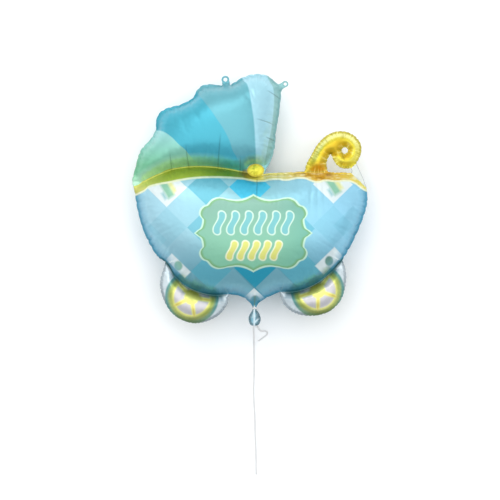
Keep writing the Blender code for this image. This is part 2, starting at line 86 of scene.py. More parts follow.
# The fine sheet: spacing of its points along the lines and between them.
OUTLINE_STEP = 0.0055
BUTTON_STEP = 0.0050
TAIL_STEP = 0.0040
SMALL_STEP = 0.0035
RING_SPACING = 0.0022
RING_SLACK = 0.0002
GRID_STEP = 0.0066
GRID_JITTER = 0.16
LEAST_SPACING = 0.0042
CELL = 0.0070
SPAN_SAMPLES = 24
SLICE = 1500
FOIL_THICKNESS = 0.0006

# Inflation: how much wider the sheets were cut than they lie once they are full.
FLAT_SCALE = 1.27
BLOW_FRAMES = 24
BLOW_PRESSURE = 6.0
CLOTH_VALUES = {"quality": 6, "mass": 0.15, "air_damping": 2.0, "tension_stiffness": 30,
                "compression_stiffness": 30, "shear_stiffness": 15, "bending_stiffness": 0.02,
                "tension_damping": 5, "compression_damping": 5, "shear_damping": 5}

# Puckers along the seams: their spacing, depth and reach on the hood and bowl, and on the small parts.
SHEET_SEED = 3
HELD_REACH = 0.0004
START_SMOOTHING = 12
LARGE_SPACING = (0.014, 0.036)
SMALL_SPACING = (0.008, 0.016)
LARGE_DEPTH = 0.0042
SMALL_DEPTH = 0.0036
LARGE_REACH = 0.024
SMALL_REACH = 0.0105
LONG_SHARE = 0.25
LONG_REACH = 3.0
DEPTH_SHARES = (0.2, 1.0)
REACH_SHARES = (0.6, 1.6)
PUCKER_SHARPNESS = 1.25
PUCKER_RISE = 0.0016
SEAM_LIFT = 0.0009
SEAM_LIFT_REACH = 0.009
SCALLOP_DEPTH = 0.0028
SCALLOP_REACH = 0.007

# Where the puckers are finer, in pattern units: beyond the handle's corner, and beside the wheels' middle
# below their top. Then the calm ring round a tab, and the longest run along a seam within one triangle.
HANDLE_PART = (50.0, 17.0)
WHEEL_PART = (4.6, 25.0, -66.0)
CALM_RING = 0.008
JUMP = 0.02

# Where the two sheets lie on the map that their colours are kept on: scale and corner of each.
FRONT_MAP = (0.60, 0.01)
BACK_MAP = (0.36, 0.62)

# The picture: its width in pixels, the column and row of the pattern's origin, and the camera.
PICTURE_WIDTH = 500
ORIGIN_COLUMN = 250.0
ORIGIN_ROW = 190.0
CAMERA_DISTANCE = 5.0
SENSOR_WIDTH = 36.0

# Print. How soft its edges are, and its lines in pixels of the picture: the hood's weld and gores, the rim
# and the wheels' welds. The welds themselves come from the pattern, and only what leads them on is here.
PRINT_EDGE = 0.8
HOOD_WELD_ENDS = ((120, 188.0), (262, 173.5), (280, 172.5), (304, 172.0), (328, 171.9), (351, 173.0),
                  (366, 187.0), (380, 190.0))
RIM_EDGE_LINE = ((120, 199.0), (135, 194.0), (145, 190.0), (150, 186.0), (160, 183.5), (170, 182.0),
                 (180, 180.0), (200, 177.5), (220, 177.0), (240, 178.0), (262, 180.5), (270, 179.0),
                 (278, 178.6), (285, 179.6), (293, 178.2), (300, 177.4), (310, 180.0), (317, 181.6),
                 (325, 180.0), (335, 180.8), (345, 180.0), (352, 181.5), (360, 186.5), (366, 189.5),
                 (380, 193.0))
FIRST_GORE_LINE = ((140, 126.0), (157, 130.0), (163, 132.0), (172, 138.0), (180, 146.0), (186, 151.0),
                   (190, 156.0), (200, 167.0), (210, 178.0))
SECOND_GORE_LINE = ((80, 190.0), (98, 201.0), (105, 206.0), (113, 212.0), (122, 218.0), (131, 224.0),
                    (143, 230.0), (152, 233.0), (157, 236.0), (176, 246.0))
THIRD_GORE_LINE = ((70, 240.0), (80, 243.0), (85, 247.0), (97, 250.0), (110, 252.0), (125, 254.0),
                   (140, 255.0), (165, 256.0), (180, 256.5))
HOOD_STRIP_LINE = ((70, 264.0), (82, 270.0), (95, 274.0), (115, 273.0), (125, 272.0), (145, 268.0),
                   (160, 265.0), (175, 261.0))
REAR_WHEEL_ENDS = ((140, 256.0), (157.5, 258.5), (240, 294.0))
FRONT_WHEEL_ENDS = ((270, 292.5), (352, 256.5), (370, 252.0))
REAR_WHEEL_SIDE = 229.8
FRONT_WHEEL_SIDE = 279.0

# The handle: how far its outer edge is from the curl's middle at each angle, and the bands of its ink
# and of its painted highlight and shade.
HANDLE_START = 301.0
HANDLE_LOW = 172.2
CURL_MIDDLE = (345.0, 150.2)
CURL_EDGE = ((-180, 17.0), (-131, 17.6), (-90, 18.6), (-66, 17.6), (-41, 17.0), (-30, 36.0), (-19, 40.7),
             (-7, 33.8), (9, 28.9), (36, 24.1), (62, 21.3), (90, 19.2), (122, 17.9), (157, 17.3),
             (180, 17.0))
ARM_EDGE = (306.5, 163.5)
ARM_NORMAL = (0.874, 0.486)
ARM_TOP = 154.0
ARM_SIDE = 329.5
CREST_DEPTHS = (2.0, 6.2)
CREST_LOW = 155
CREST_END = (351, 146)
HANDLE_INNER_DEPTH = 9.5
FOOT_TOP = 165

# Bands of the hood and the rim.
HOOD_END = 290.0
GORE_EDGE = 1.2
CYAN_START = 203
WELD_LIME_END = 247
MINT_GRADE = (120, 165)
GREEN_GRADE = (178, 232)
GREEN_END = 262
DARK_SPAN = (225, 252)
CREAM_WIDTH = 2.0
GOLD_START = 262
BROWN_SPAN = (298, 334)
RIM_CREASE = (9.0, 2.4)

# Wheels and button.
REAR_HUB = (192.0, 297.0)
FRONT_HUB = (317.5, 290.5)
REAR_SPOKE_TURN = 62.0
FRONT_SPOKE_TURN = 54.0
SPOKES = 5
TYRE_RADIUS = 26.8
TYRE_INNER = 23.6
RIM_INNER = 19.4
WINDOW_OUTER = 17.5
WINDOW_INNER = 7.4
SPOKE_HALF = 2.0
SPOKE_CORE = 0.6
SPOKE_START = 9.4
HUB_RADIUS = 9.0
WHEEL_SHADE_SIDE = 16.0
WHEEL_SHADE_END = 32.8
BUTTON_MIDDLE = (255.7, 170.3)
BUTTON_RADII = (8.6, 6.6)
BUTTON_SHADE_MIDDLE = (250.5, 173.8)
BUTTON_SHADE_RADII = (10.0, 5.2)

# The bowl's diamonds, and the bands over which its ground changes.
DIAMOND_RADII = (20.5, 19.8)
DIAMOND_EDGE = 0.05
WHITE_DIAMONDS = ((168, 188.5), (332, 185.0), (254, 306.8))
LOWER_WHITES = ((179.0, 265.6, 0.46, 0.155, (110, 174, 150)), (328.3, 260.8, 0.225, 0.47, (44, 126, 110)))
MID_DIAMONDS = ((209, 188.0), (212, 271.0), (300, 269.5))
TOP_DIAMONDS = ((250, 188.0),)
CYAN_DIAMONDS = ((209, 228.0), (293, 229.0))
FAINT_DIAMONDS = ((147.5, 240.0), (352.0, 226.0), (168, 228.0), (332, 226.0))
DEEP_DIAMONDS = ((255.0, 267.5),)
GREY_DIAMONDS = ((233.5, 288.0), (276.0, 287.0))
LEFT_GRADE = (160, 250)
RIGHT_GRADE = (260, 340)
LOW_GRADE = (236, 296)
WHITE_SIZE = 0.97
WHITE_EDGE = 0.04
MOTIF_SCALE = 1.25
MOTIF_LEAN = (0.85, 0.53)
LOW_SPOT = (255.2, 300.5)
LOW_SPOT_RADII = (4.8, 5.4)
FUNNEL_TOP = 301
FUNNEL_SIDES = (2.2, 11)
MOTIF_SPOT = (4.2, 4.8)
MOTIF_LOW = 13

# Creases and the label, with the middle, start, pitch, count, half height and radius of each row of strokes.
CREASES = (((171.0, 157.0), (171.8, 170.0)), ((187.0, 150.0), (189.0, 168.0)),
           ((220.5, 141.0), (218.0, 168.0)), ((240.5, 160.0), (240.0, 172.0)),
           ((259.0, 121.0), (272.0, 124.5)), ((269.0, 92.5), (279.5, 98.0)),
           ((267.0, 138.5), (275.5, 141.0)), ((257.0, 178.0), (256.5, 196.0)))
CREASE_HALF = 0.42
LABEL_MIDDLE = (253.3, 233.5)
LABEL_EDGE = ((0.0, 58.2), (2.6, 55.3), (7.6, 51.5), (14.4, 51.6), (17.5, 54.8), (22.6, 57.2), (27.2, 56.5),
              (31.9, 53.5), (37.1, 53.0), (43.0, 51.0), (48.2, 47.0), (55.2, 40.8), (68.2, 35.8),
              (77.0, 35.5), (86.1, 37.1), (90.0, 38.5))
LABEL_LINE = 1.8
LABEL_SHADE_LINE = 1.6
LABEL_GRADE = (200, 266)
LABEL_SIDE_FROM = 290
STROKE_LEAN = 0.20
STROKE_SWAY = (0.30, 1.4)
STROKE_RIM = 1.3
UPPER_ROW = (223.5, 213.5, 13.3, 6, 8.0, 3.0)
LOWER_ROW = (250.5, 227.0, 10.8, 5, 6.2, 2.8)

# Inks, and painted light and shade, as display colours.
MINT = (168, 226, 234)
MINT_REFLECTED_GREEN = (118, 190, 150)
CYAN = (70, 174, 194)
LIGHT_CYAN = (104, 176, 188)
PALE_BLUE = (166, 216, 229)
STRIP_MINT = (140, 192, 192)
HOOD_REFLECTED_GREEN = (194, 244, 210)
HOOD_REFLECTED_TEAL = (120, 216, 222)
HOOD_DARK = (90, 208, 226)
WELD_HIGHLIGHT_LIME = (206, 212, 92)
BODY_LEFT = (168, 214, 228)
BODY_CENTRE = (136, 190, 198)
BODY_RIGHT = (152, 212, 236)
BODY_LOW = (62, 142, 162)
EDGE_SHADE_BLUE = (62, 152, 184)
MID_BLUE = (92, 176, 194)
TOP_CYAN = (44, 184, 218)
DEEP_TEAL = (28, 154, 182)
GREY_BLUE = (120, 176, 190)
WHITE = (232, 240, 238)
FUNNEL_SHADE = (60, 98, 100)
DEEP_LEAF = (26, 108, 92)
MOTIF_GREEN = (118, 188, 150)
MOTIF_YELLOW = (226, 226, 130)
MOTIF_TEAL = (110, 186, 190)
LABEL_TOP = (130, 172, 156)
LABEL_LOW = (138, 204, 170)
LABEL_SIDE = (104, 176, 160)
LABEL_RIM = (196, 232, 208)
LABEL_OLIVE = (120, 172, 110)
STROKE_TEAL = (122, 190, 192)
STROKE_MINT = (206, 232, 214)
STROKE_YELLOW = (222, 222, 124)
CREAM = (236, 240, 206)
RIM_CRINKLE_SHADE = (168, 118, 36)
RIM_CRINKLE_HIGHLIGHT = (246, 240, 196)
BUTTON_YELLOW = (236, 228, 72)
BUTTON_EDGE = (196, 176, 30)
BUTTON_SHADE = (128, 112, 34)
HANDLE_YELLOW = (222, 208, 48)
HANDLE_HIGHLIGHT = (255, 252, 160)
HANDLE_SHADE_GOLD = (224, 184, 22)
HANDLE_EDGE_SHADE = (176, 160, 36)
HANDLE_FOOT_GOLD = (206, 142, 24)
TYRE_TEAL = (100, 158, 152)
TYRE_OLIVE = (116, 142, 92)
WHEEL_YELLOW = (238, 236, 130)
WHEEL_LIME = (168, 182, 92)
WHEEL_OLIVE = (104, 114, 40)
WHEEL_ORANGE = (222, 170, 80)
WELD_SHADE = (18, 92, 96)
HUB_SHADE = (134, 132, 14)
WINDOW_PEARL = (206, 203, 205)
PEARL = (214, 226, 230)
PEARL_SEAM_SHADE = (128, 142, 150)
FILM_TINT = (220, 226, 222)
FILM_LINE = (104, 116, 122)
TAIL_TINT = (130, 190, 208)
TAIL_SHADE = (52, 104, 118)
TAIL_HIGHLIGHT = (226, 244, 250)
RIBBON_GREY = (244, 243, 241)
FLOOR_WHITE = (252, 252, 252)

# Inks with their places: the tinted diamonds with the share of each ink, the motif's forms with their spans
# across and along, and the rim's ink by column, whose darker olive near column 228 is painted shade.
TINTED_DIAMONDS = ((FAINT_DIAMONDS, CYAN, 0.16), (MID_DIAMONDS, MID_BLUE, 0.85),
                   (TOP_DIAMONDS, TOP_CYAN, 0.9), (CYAN_DIAMONDS, CYAN, 0.55),
                   (GREY_DIAMONDS, GREY_BLUE, 0.8), (DEEP_DIAMONDS, DEEP_TEAL, 0.95))
MOTIF_FORMS = (((-3.6, 2.6, 2.4), (-9.0, 8.5, 3.0), 0.85, MOTIF_GREEN),
               ((2.2, 5.6, 2.4), (-6.0, 7.0, 3.0), 0.8, MOTIF_YELLOW),
               ((-6.4, -4.2, 2.0), (1.5, 7.5, 2.5), 0.7, MOTIF_TEAL))
RIM_INKS = ((134, (208, 206, 112)), (152, (200, 204, 98)), (168, (168, 186, 66)), (200, (162, 182, 58)),
            (228, (116, 160, 52)), (246, (160, 166, 56)), (262, (222, 206, 96)), (280, (220, 214, 124)),
            (304, (224, 190, 70)), (322, (216, 172, 50)), (345, (226, 196, 66)), (364, (230, 220, 108)))

# The clear film: how much it covers, and where the tail's folds run.
FILM_COVER = 0.68
TAIL_TOP = 306.0
TAIL_FOLD_PLACE = (254.8, 322.5)
TAIL_FOLD_LEAN = (0.74, 0.67)

# The foil's surface, with the bands along its seams: how far each reaches and how softly it ends.
FOIL_METAL = 0.44
FOIL_ROUGHNESS = 0.36
FILM_ROUGHNESS = 0.16
CRINKLE_REACH = 0.020
CRINKLE_PITCH = 0.0065
CRINKLE_STRETCH = 5
CLOUD_SCALE = 9.0
GRAIN_SCALE = 60.0
FILM_STREAK_SCALE = 90.0
CLOUD_SHARE = 0.10
CRINKLE_LIGHT_SHADE_SHARE = 0.35
TONE_BASE = 0.86
SEAM_BAND = (0.0012, 0.0016)
SEAM_DARKENING = 0.14
CREASE_SHADE_SHARE = 0.35
EDGE_BLUE_BAND = (0.014, 0.030)
PEARL_BAND = (0.003, 0.004)
HANDLE_BAND = (0.0015, 0.0035)
FILM_BAND = (-0.0034, 0.0014)
TAIL_BAND = (0.0028, 0.0030)
BUMP_DEPTH = 0.001
STREAK_RELIEF = 1.6
GRAIN_RELIEF = 0.22
STROKE_RELIEF = 0.25
CREASE_RELIEF = 0.9
FILM_RELIEF = 1.2

# The ribbon: its routes from the knot, as shares of the drop to the floor.
RIBBON_ROUTE = ((-0.0036, 0.0, 0.0), (-0.0038, -0.007, 0.02), (-0.0038, -0.020, 0.12),
                (-0.0035, -0.043, 0.34), (-0.003, -0.068, 0.57), (-0.002, -0.095, 0.78),
                (-0.002, -0.126, 0.925), (-0.001, -0.163, 0.985), (-0.001, -0.205, 1.0),
                (-0.003, -0.265, 1.0), (0.001, -0.350, 1.0), (0.004, -0.440, 1.0), (0.006, -0.528, 1.0))
END_ROUTE = ((0.0036, 0.0, 0.0), (0.0040, -0.006, 0.03), (0.0052, -0.016, 0.18), (0.0070, -0.031, 0.45),
             (0.0080, -0.047, 0.72), (0.0120, -0.063, 0.92), (0.0220, -0.0735, 1.0), (0.0345, -0.0730, 1.0),
             (0.0410, -0.0780, 1.0), (0.0375, -0.0865, 1.0), (0.0260, -0.0955, 1.0), (0.0125, -0.1050, 1.0))
RIBBON_STEP = 0.004
END_STEP = 0.0025
RIBBON_THICKNESS = 0.0004
RIBBON_TWIST = 0.6
RIBBON_TURN_LENGTH = 0.21
GROUNDED_BELOW = 0.020
RIB_TURNS = 44.0
RIB_DEPTH = 0.0004
RIB_STRENGTH = 0.5
RIBBON_ROUGHNESS = 0.32
RIBBON_CLOUD_SCALE = 70.0
RIBBON_SHADE = (228, 227, 226)
STRIP_SECTION = ((-1, 1), (0, 1.3), (1, 1), (1, -1), (0, -0.7), (-1, -1))
STRIP_ACROSS = (0.0, 0.5, 1.0, 1.0, 0.5, 0.0, 0.0)
TIE_TURNS = 3
TIE_POINTS = 145
TIE_STRIP = 0.0036
KNOT_POINTS = 97
KNOT_SQUEEZE = 0.55
KNOT_STRIP = 1.6

# Studio.
FLOOR_SIZE = 14.0
FLOOR_ROUGHNESS = 0.9
SOFTBOXES = (("Over", (0.0, 0.5, 6.4), (9.0, 6.0), 184.0),
             ("Key", (-0.6, 2.6, 2.6), (3.0, 1.6), 30.0),
             ("Side", (-2.6, 0.2, 1.9), (1.8, 1.8), 5.0),
             ("Fill", (2.6, -0.4, 2.2), (1.8, 1.8), 7.0))
LIGHT_TARGET = (0.0, 0.0, 0.1)
ROOM_LOW = (190, 196, 202)
ROOM_HIGH = (246, 248, 250)
ROOM_STRENGTH = 1.05

# Pattern, in pattern units. The hood, from its rear tip over the three scallops to the pivot.
REAR_TIP = (-116.5, 3.0)
HOOD_REAR = (REAR_TIP, (-118.0, 8.5), (-115.0, 21.0), (-109.5, 40.0), (-100.0, 51.0), (-94.5, 60.5))
SCALLOP_LOW = ((-94.5, 60.5), (-94.0, 71.0), (-90.0, 78.5), (-82.0, 83.0), (-70.0, 86.0), (-57.0, 92.5))
SCALLOP_MID = ((-57.0, 92.5), (-54.5, 98.5), (-50.0, 104.0), (-43.0, 106.5), (-35.0, 106.0), (-28.0, 105.0))
SCALLOP_TOP = ((-19.5, 106.0), (-7.0, 113.5), (5.5, 116.8), (17.0, 115.2), (24.0, 110.0), (28.5, 106.0))
HOOD_FRONT = ((32.0, 101.0), (30.5, 88.0), (29.0, 75.0), (26.0, 57.0), (25.0, 43.0), (22.0, 32.0),
              (18.5, 24.0), (13.5, 16.0))
REAR_TAB_CENTRE = (-24.7, 111.0)
FRONT_TAB_CENTRE = (35.3, 106.6)

# The rim in front of the hood, the handle over it, and the clear film that ties the two together.
RIM = ((13.5, 16.0), (19.0, 17.2), (36.0, 17.8), (54.5, 18.6))
HANDLE_OUTER = ((54.5, 18.6), (56.5, 26.5), (61.5, 35.5), (66.5, 44.5), (75.5, 54.0), (85.0, 58.6),
                (95.0, 59.0), (104.5, 55.0), (111.0, 46.5), (111.3, 37.0), (106.5, 26.5))
FILM_OUTER = ((106.5, 26.5), (110.0, 19.0), (113.5, 11.0), (116.5, 2.0))
HANDLE_INNER = ((78.0, 18.2), (76.7, 26.0), (78.0, 31.5), (80.7, 36.0))
CURL_UNDER = ((80.7, 36.0), (83.5, 29.8), (88.0, 23.7), (95.0, 21.2), (100.5, 21.6))
FILM_INNER = ((100.5, 21.6), (102.0, 19.5), (101.0, 17.0))
RIM_UNDER_WINDOW = ((101.0, 17.0), (94.0, 17.7), (86.0, 17.6), (78.0, 18.2))
CURL_CENTRE = (95.0, 39.8)

# The bowl, the wheels that show below it, and its funnel to the neck.
BOWL_FRONT = ((116.5, 2.0), (117.5, -6.0), (117.0, -15.0), (110.5, -35.0), (100.0, -57.5), (92.5, -70.0))
FRONT_WHEEL = ((92.5, -70.0), (95.5, -79.0), (96.2, -91.0), (91.0, -110.0), (78.5, -122.0), (59.0, -126.0),
               (42.0, -121.8), (33.0, -113.0), (29.5, -102.0))
FUNNEL_FRONT = ((29.5, -102.0), (18.5, -107.0), (11.0, -111.3))
NECK_MIDDLE = (4.6, -118.0)
FUNNEL_REAR = ((-1.5, -111.3), (-9.0, -106.5), (-20.7, -104.3))
REAR_WHEEL = ((-20.7, -104.3), (-23.0, -115.0), (-33.0, -126.5), (-55.0, -133.5), (-76.5, -124.8),
              (-87.0, -108.0), (-90.0, -93.0), (-84.5, -72.0))
BOWL_REAR = ((-84.5, -72.0), (-92.5, -66.5), (-105.5, -43.5), (-113.0, -18.0), (-115.0, -5.0), REAR_TIP)

# Inner welds.
HOOD_WELD = (REAR_TIP, (-107.0, 8.0), (-90.0, 16.0), (-74.0, 21.3), (-50.0, 23.3), (-25.0, 21.2),
             (-3.0, 17.4))
BUTTON_CENTRE = (5.7, 19.7)
FRONT_WHEEL_WELD = ((92.5, -70.0), (81.0, -82.5), (62.0, -96.0), (45.0, -101.5), (29.5, -102.0))
REAR_WHEEL_WELD = ((-20.7, -104.3), (-38.0, -105.0), (-58.0, -99.5), (-74.0, -87.5), (-84.5, -72.0))
CURL_FILM_WELD = ((100.5, 21.6), (103.8, 23.4), (106.5, 26.5))
RIM_FILM_WELD = ((101.0, 17.0), (108.0, 12.5), (116.5, 2.0))
HANDLE_WELD = ((54.5, 18.6), (66.0, 17.4), (78.0, 18.2))
FLAT_FILM = (RIM_UNDER_WINDOW[0], FILM_INNER[0], HANDLE_OUTER[-1], (111.8, 20.0), (115.4, 11.5),
             BOWL_FRONT[0])
HOOD_HEART = (-25.0, 65.0)


def smooth_curve(points):
    """A dense smooth curve through the points (centripetal Catmull-Rom)."""
    points = np.array(points, dtype=float)
    padded = np.vstack([2 * points[0] - points[1], points, 2 * points[-1] - points[-2]])
    curve = [points[0]]
    for i in range(len(points) - 1):
        p = padded[i:i + 4]
        t = np.concatenate([[0.0], np.cumsum(np.sqrt(np.linalg.norm(np.diff(p, axis=0), axis=1)))])
        for s in np.linspace(t[1], t[2], SPAN_SAMPLES + 1)[1:]:
            level = p
            for width in (1, 2, 3):
                level = [blend(level[k], level[k + 1], s, *knots(t, width, k))
                         for k in range(len(level) - 1)]
            curve.append(level[0])
    return np.array(curve)


def knots(t, width, k):
    """The two knots that the pair k blends between at this level of the curve's pyramid."""
    if width == 1:
        return t[k], t[k + 1]
    if width == 2:
        return t[k], t[k + 2]
    return t[1], t[2]


def blend(a, b, s, start, end):
    """The mix of a and b at s between start and end."""
    return ((end - s) * np.asarray(a) + (s - start) * np.asarray(b)) / (end - start)


def places_along(line):
    """How far along a line each of its points lies."""
    return np.concatenate([[0.0], np.cumsum(np.linalg.norm(np.diff(line, axis=0), axis=1))])


def resample(curve, step):
    """The same curve with points about step apart, both ends kept."""
    lengths = places_along(curve)
    count = max(2, round(lengths[-1] / step))
    places = np.linspace(0.0, lengths[-1], count + 1)
    return np.column_stack([np.interp(places, lengths, curve[:, k]) for k in range(curve.shape[1])])


def stretch(points, step=OUTLINE_STEP):
    """A stretch of the pattern in metres, smooth between its ends."""
    return resample(smooth_curve(np.array(points) * UNIT), step)


def arc(centre, radii, start, end, step):
    """An elliptic arc in metres about a centre in metres, angles in degrees."""
    angles = np.radians(np.linspace(start, end, 65))
    curve = np.column_stack([centre[0] + radii[0] * np.cos(angles), centre[1] + radii[1] * np.sin(angles)])
    return resample(curve, step)


def pattern_point(point):
    """A pattern point in metres."""
    return np.array(point) * UNIT


def tab(centre, radius, root_start, root_end):
    """A rounded hanging tab, from one root point over the top to the other, turning clockwise."""
    centre = pattern_point(centre)
    root = (pattern_point(root_start) + pattern_point(root_end)) / 2 - centre
    down = math.degrees(math.atan2(root[1], root[0]))
    return arc(centre, (radius, radius), down - TAB_ROOT_ANGLE, down + TAB_ROOT_ANGLE - 360, SMALL_STEP)


def tail_outline():
    """The neck and the filling tail, from the funnel's front side round to its rear side."""
    x, y = pattern_point(NECK_MIDDLE)
    neck, half = NECK_WIDTH / 2, NECK_LENGTH / 2
    top = y - half
    flap = [(x + neck, top)]
    flap += [(x + TAIL_WIDTH / 2 * out, top - TAIL_LENGTH * down) for out, down in TAIL_FRONT_EDGE]
    flap += [(x, top - TAIL_LENGTH)]
    flap += [(x - TAIL_WIDTH / 2 * out, top - TAIL_LENGTH * down) for out, down in TAIL_REAR_EDGE]
    flap += [(x - neck, top)]
    front = np.array([(x + neck, y + half), flap[0]])
    rear = np.array([flap[-1], (x - neck, y + half)])
    return join([resample(front, SMALL_STEP), resample(smooth_curve(flap), TAIL_STEP),
                 resample(rear, SMALL_STEP)])


def join(parts):
    """Consecutive stretches as one line, without doubled points."""
    line = [parts[0][0]]
    for part in parts:
        for point in part:
            if np.linalg.norm(point - line[-1]) > 1e-6:
                line.append(point)
    return np.array(line)


def outer_outline():
    """The whole outline of the foil, clockwise from the rear tip, open at its end."""
    line = join([
        stretch(HOOD_REAR), stretch(SCALLOP_LOW), stretch(SCALLOP_MID),
        tab(REAR_TAB_CENTRE, REAR_TAB_RADIUS, SCALLOP_MID[-1], SCALLOP_TOP[0]),
        stretch(SCALLOP_TOP),
        tab(FRONT_TAB_CENTRE, FRONT_TAB_RADIUS, SCALLOP_TOP[-1], HOOD_FRONT[0]),
        stretch(HOOD_FRONT), stretch(RIM), stretch(HANDLE_OUTER), stretch(FILM_OUTER), stretch(BOWL_FRONT),
        stretch(FRONT_WHEEL), stretch(FUNNEL_FRONT, TAIL_STEP), tail_outline(),
        stretch(FUNNEL_REAR, TAIL_STEP), stretch(REAR_WHEEL), stretch(BOWL_REAR),
    ])
    return line[:-1]


def hole_outlines():
    """The closed outlines cut out of the foil: window under the curl, its eye and the tab holes."""
    window = (HANDLE_INNER, CURL_UNDER, FILM_INNER, RIM_UNDER_WINDOW)
    holes = [join([stretch(side) for side in window])[:-1]]
    for centre, radius in ((CURL_CENTRE, CURL_HOLE_RADIUS), (REAR_TAB_CENTRE, REAR_TAB_HOLE),
                           (FRONT_TAB_CENTRE, FRONT_TAB_HOLE)):
        holes.append(arc(pattern_point(centre), (radius, radius), 0, 360, SMALL_STEP)[:-1])
    return holes


def weld_lines():
    """The open lines along which both sheets are sealed inside the outline."""
    button = arc(pattern_point(BUTTON_CENTRE), (BUTTON_WIDTH / 2, BUTTON_HEIGHT / 2), BUTTON_REAR_ANGLE,
                 BUTTON_REAR_ANGLE - 360, BUTTON_STEP)
    hood = np.vstack([stretch(HOOD_WELD)[:-1], button[:1]])
    corner = pattern_point(HOOD_FRONT[-1])
    nearest = button[np.argmin(np.linalg.norm(button - corner, axis=1))]
    return [hood, button, np.array([nearest, corner]), stretch(FRONT_WHEEL_WELD), stretch(REAR_WHEEL_WELD),
            stretch(CURL_FILM_WELD), stretch(RIM_FILM_WELD), stretch(HANDLE_WELD)]


def inside(points, polygon):
    """Which points lie inside the closed polygon."""
    x, y = points[:, 0:1], points[:, 1:2]
    ax, ay = polygon[:, 0], polygon[:, 1]
    bx, by = np.roll(ax, -1), np.roll(ay, -1)
    crosses = (ay > y) != (by > y)
    rise = np.where(by == ay, 1.0, by - ay)
    hits = crosses & (x < (bx - ax) * (y - ay) / rise + ax)
    return hits.sum(axis=1) % 2 == 1


class Seams:
    """Every line at which the sheets meet, with how far its flat strip reaches to each side."""

    def __init__(self, outline, holes, welds):
        self.lines = [(outline, True, BORDER_WIDTH)]
        self.lines += [(hole, True, BORDER_WIDTH) for hole in holes]
        self.lines += [(weld, False, WELD_WIDTH / 2) for weld in welds]
        pairs = [segments(line, closed) for line, closed, _ in self.lines]
        self.starts = np.vstack([a for a, _ in pairs])
        self.run = np.vstack([b - a for a, b in pairs])
        self.length = np.linalg.norm(self.run, axis=1)
        lengths = [np.linalg.norm(b - a, axis=1) for a, b in pairs]
        self.along = np.cumsum(np.concatenate(lengths)) - np.concatenate(lengths)
        self.reach = np.concatenate([np.full(len(a), line[2]) for (a, _), line in zip(pairs, self.lines)])
        sides = [foil_side(line, k == 0) if closed else 0.0
                 for k, (line, closed, _) in enumerate(self.lines)]
        side = np.concatenate([np.full(len(a), one) for (a, _), one in zip(pairs, sides)])
        self.inward = np.column_stack([self.run[:, 1], -self.run[:, 0]]) * (side / self.length)[:, None]

    def measure(self, points):
        """Distance from each point to the nearest strip's edge, negative on it, and the place along it."""
        away, place = np.empty(len(points)), np.empty(len(points))
        self.nearest = np.empty(len(points), int)
        for first in range(0, len(points), SLICE):
            some = slice(first, first + SLICE)
            offset = points[some, None, :] - self.starts[None]
            share = np.clip((offset * self.run[None]).sum(axis=2) / self.length ** 2, 0.0, 1.0)
            distance = np.linalg.norm(offset - share[..., None] * self.run[None], axis=2) - self.reach
            nearest = distance.argmin(axis=1)
            rows = np.arange(len(nearest))
            away[some] = distance[rows, nearest]
            place[some] = self.along[nearest] + share[rows, nearest] * self.length[nearest]
            self.nearest[some] = nearest
        return away, place


def foil_side(line, outer):
    """One where the foil lies to the right of a closed line, minus one where it lies to the left."""
    following = np.roll(line, -1, axis=0)
    area = (line[:, 0] * following[:, 1] - following[:, 0] * line[:, 1]).sum()
    return 1.0 if (area < 0) == outer else -1.0


def segments(line, closed):
    """The starts and ends of a line's segments."""
    if closed:
        return line, np.roll(line, -1, axis=0)
    return line[:-1], line[1:]


def beside(line, closed, distance):
    """Points beside the middle of each segment, to the left or, for a negative distance, to the right."""
    starts, ends = segments(line, closed)
    run = ends - starts
    normal = np.column_stack([-run[:, 1], run[:, 0]]) / np.linalg.norm(run, axis=1)[:, None]
    return (starts + ends) / 2 + normal * distance


def in_tail(verts):
    """Which points belong to the neck or the tail."""
    x, y = pattern_point(NECK_MIDDLE)
    return (np.abs(verts[:, 0] - x) < TAIL_WIDTH * 0.7) & (verts[:, 1] < y + NECK_LENGTH)


def smooth_step(value):
    """Zero to one, level at both ends."""
    value = np.clip(value, 0.0, 1.0)
    return value * value * (3 - 2 * value)


def seam_plane(verts):
    """Height of the plane of the seams: the hood leans back to the floor and the tail droops."""
    body = BODY_PUFF + SEAM_THICKNESS / 2 - REST_DENT
    weld, heart = HOOD_WELD[-1][1] * UNIT, HOOD_HEART[1] * UNIT
    lean = (BODY_PUFF - HOOD_PUFF) * smooth_step((verts[:, 1] - weld) / (heart - weld))
    x, y = pattern_point(NECK_MIDDLE)
    below = np.where(in_tail(verts), np.clip(y - NECK_LENGTH / 2 - verts[:, 1], 0, None), 0.0) / TAIL_LENGTH
    fold = TAIL_FOLD * smooth_step(2 * below) * (1 - np.abs(verts[:, 0] - x) / TAIL_FOLD_REACH)
    return body - lean - TAIL_DROOP * below ** TAIL_BEND + fold


class Net:
    """Points kept apart from each other, found by the cell that they lie in, with their fixed edges."""

    def __init__(self):
        self.points = []
        self.edges = []
        self.cells = {}

    def add(self, point):
        """Add a point and return its number."""
        place = (int(point[0] // CELL), int(point[1] // CELL))
        self.cells.setdefault(place, []).append(len(self.points))
        self.points.append((float(point[0]), float(point[1])))
        return len(self.points) - 1

    def is_clear(self, point, spacing):
        """Whether no point lies nearer than the spacing."""
        x, y = int(point[0] // CELL), int(point[1] // CELL)
        near = [k for i in (-1, 0, 1) for j in (-1, 0, 1) for k in self.cells.get((x + i, y + j), ())]
        return all(math.dist(self.points[k], point) >= spacing for k in near)

    def add_line(self, line, closed):
        """Add a whole line with its edges."""
        self.link([self.add(point) for point in line], closed)

    def add_apart(self, candidates, allowed, spacing):
        """Add the allowed candidates that are clear of all others; None for the rest."""
        return [self.add(point) if good and self.is_clear(point, spacing) else None
                for point, good in zip(candidates, allowed)]

    def link(self, places, closed):
        """Fix the edges between neighbours that were both added."""
        following = places[1:] + places[:1] if closed else places[1:]
        self.edges.extend(pair for pair in zip(places, following) if None not in pair)


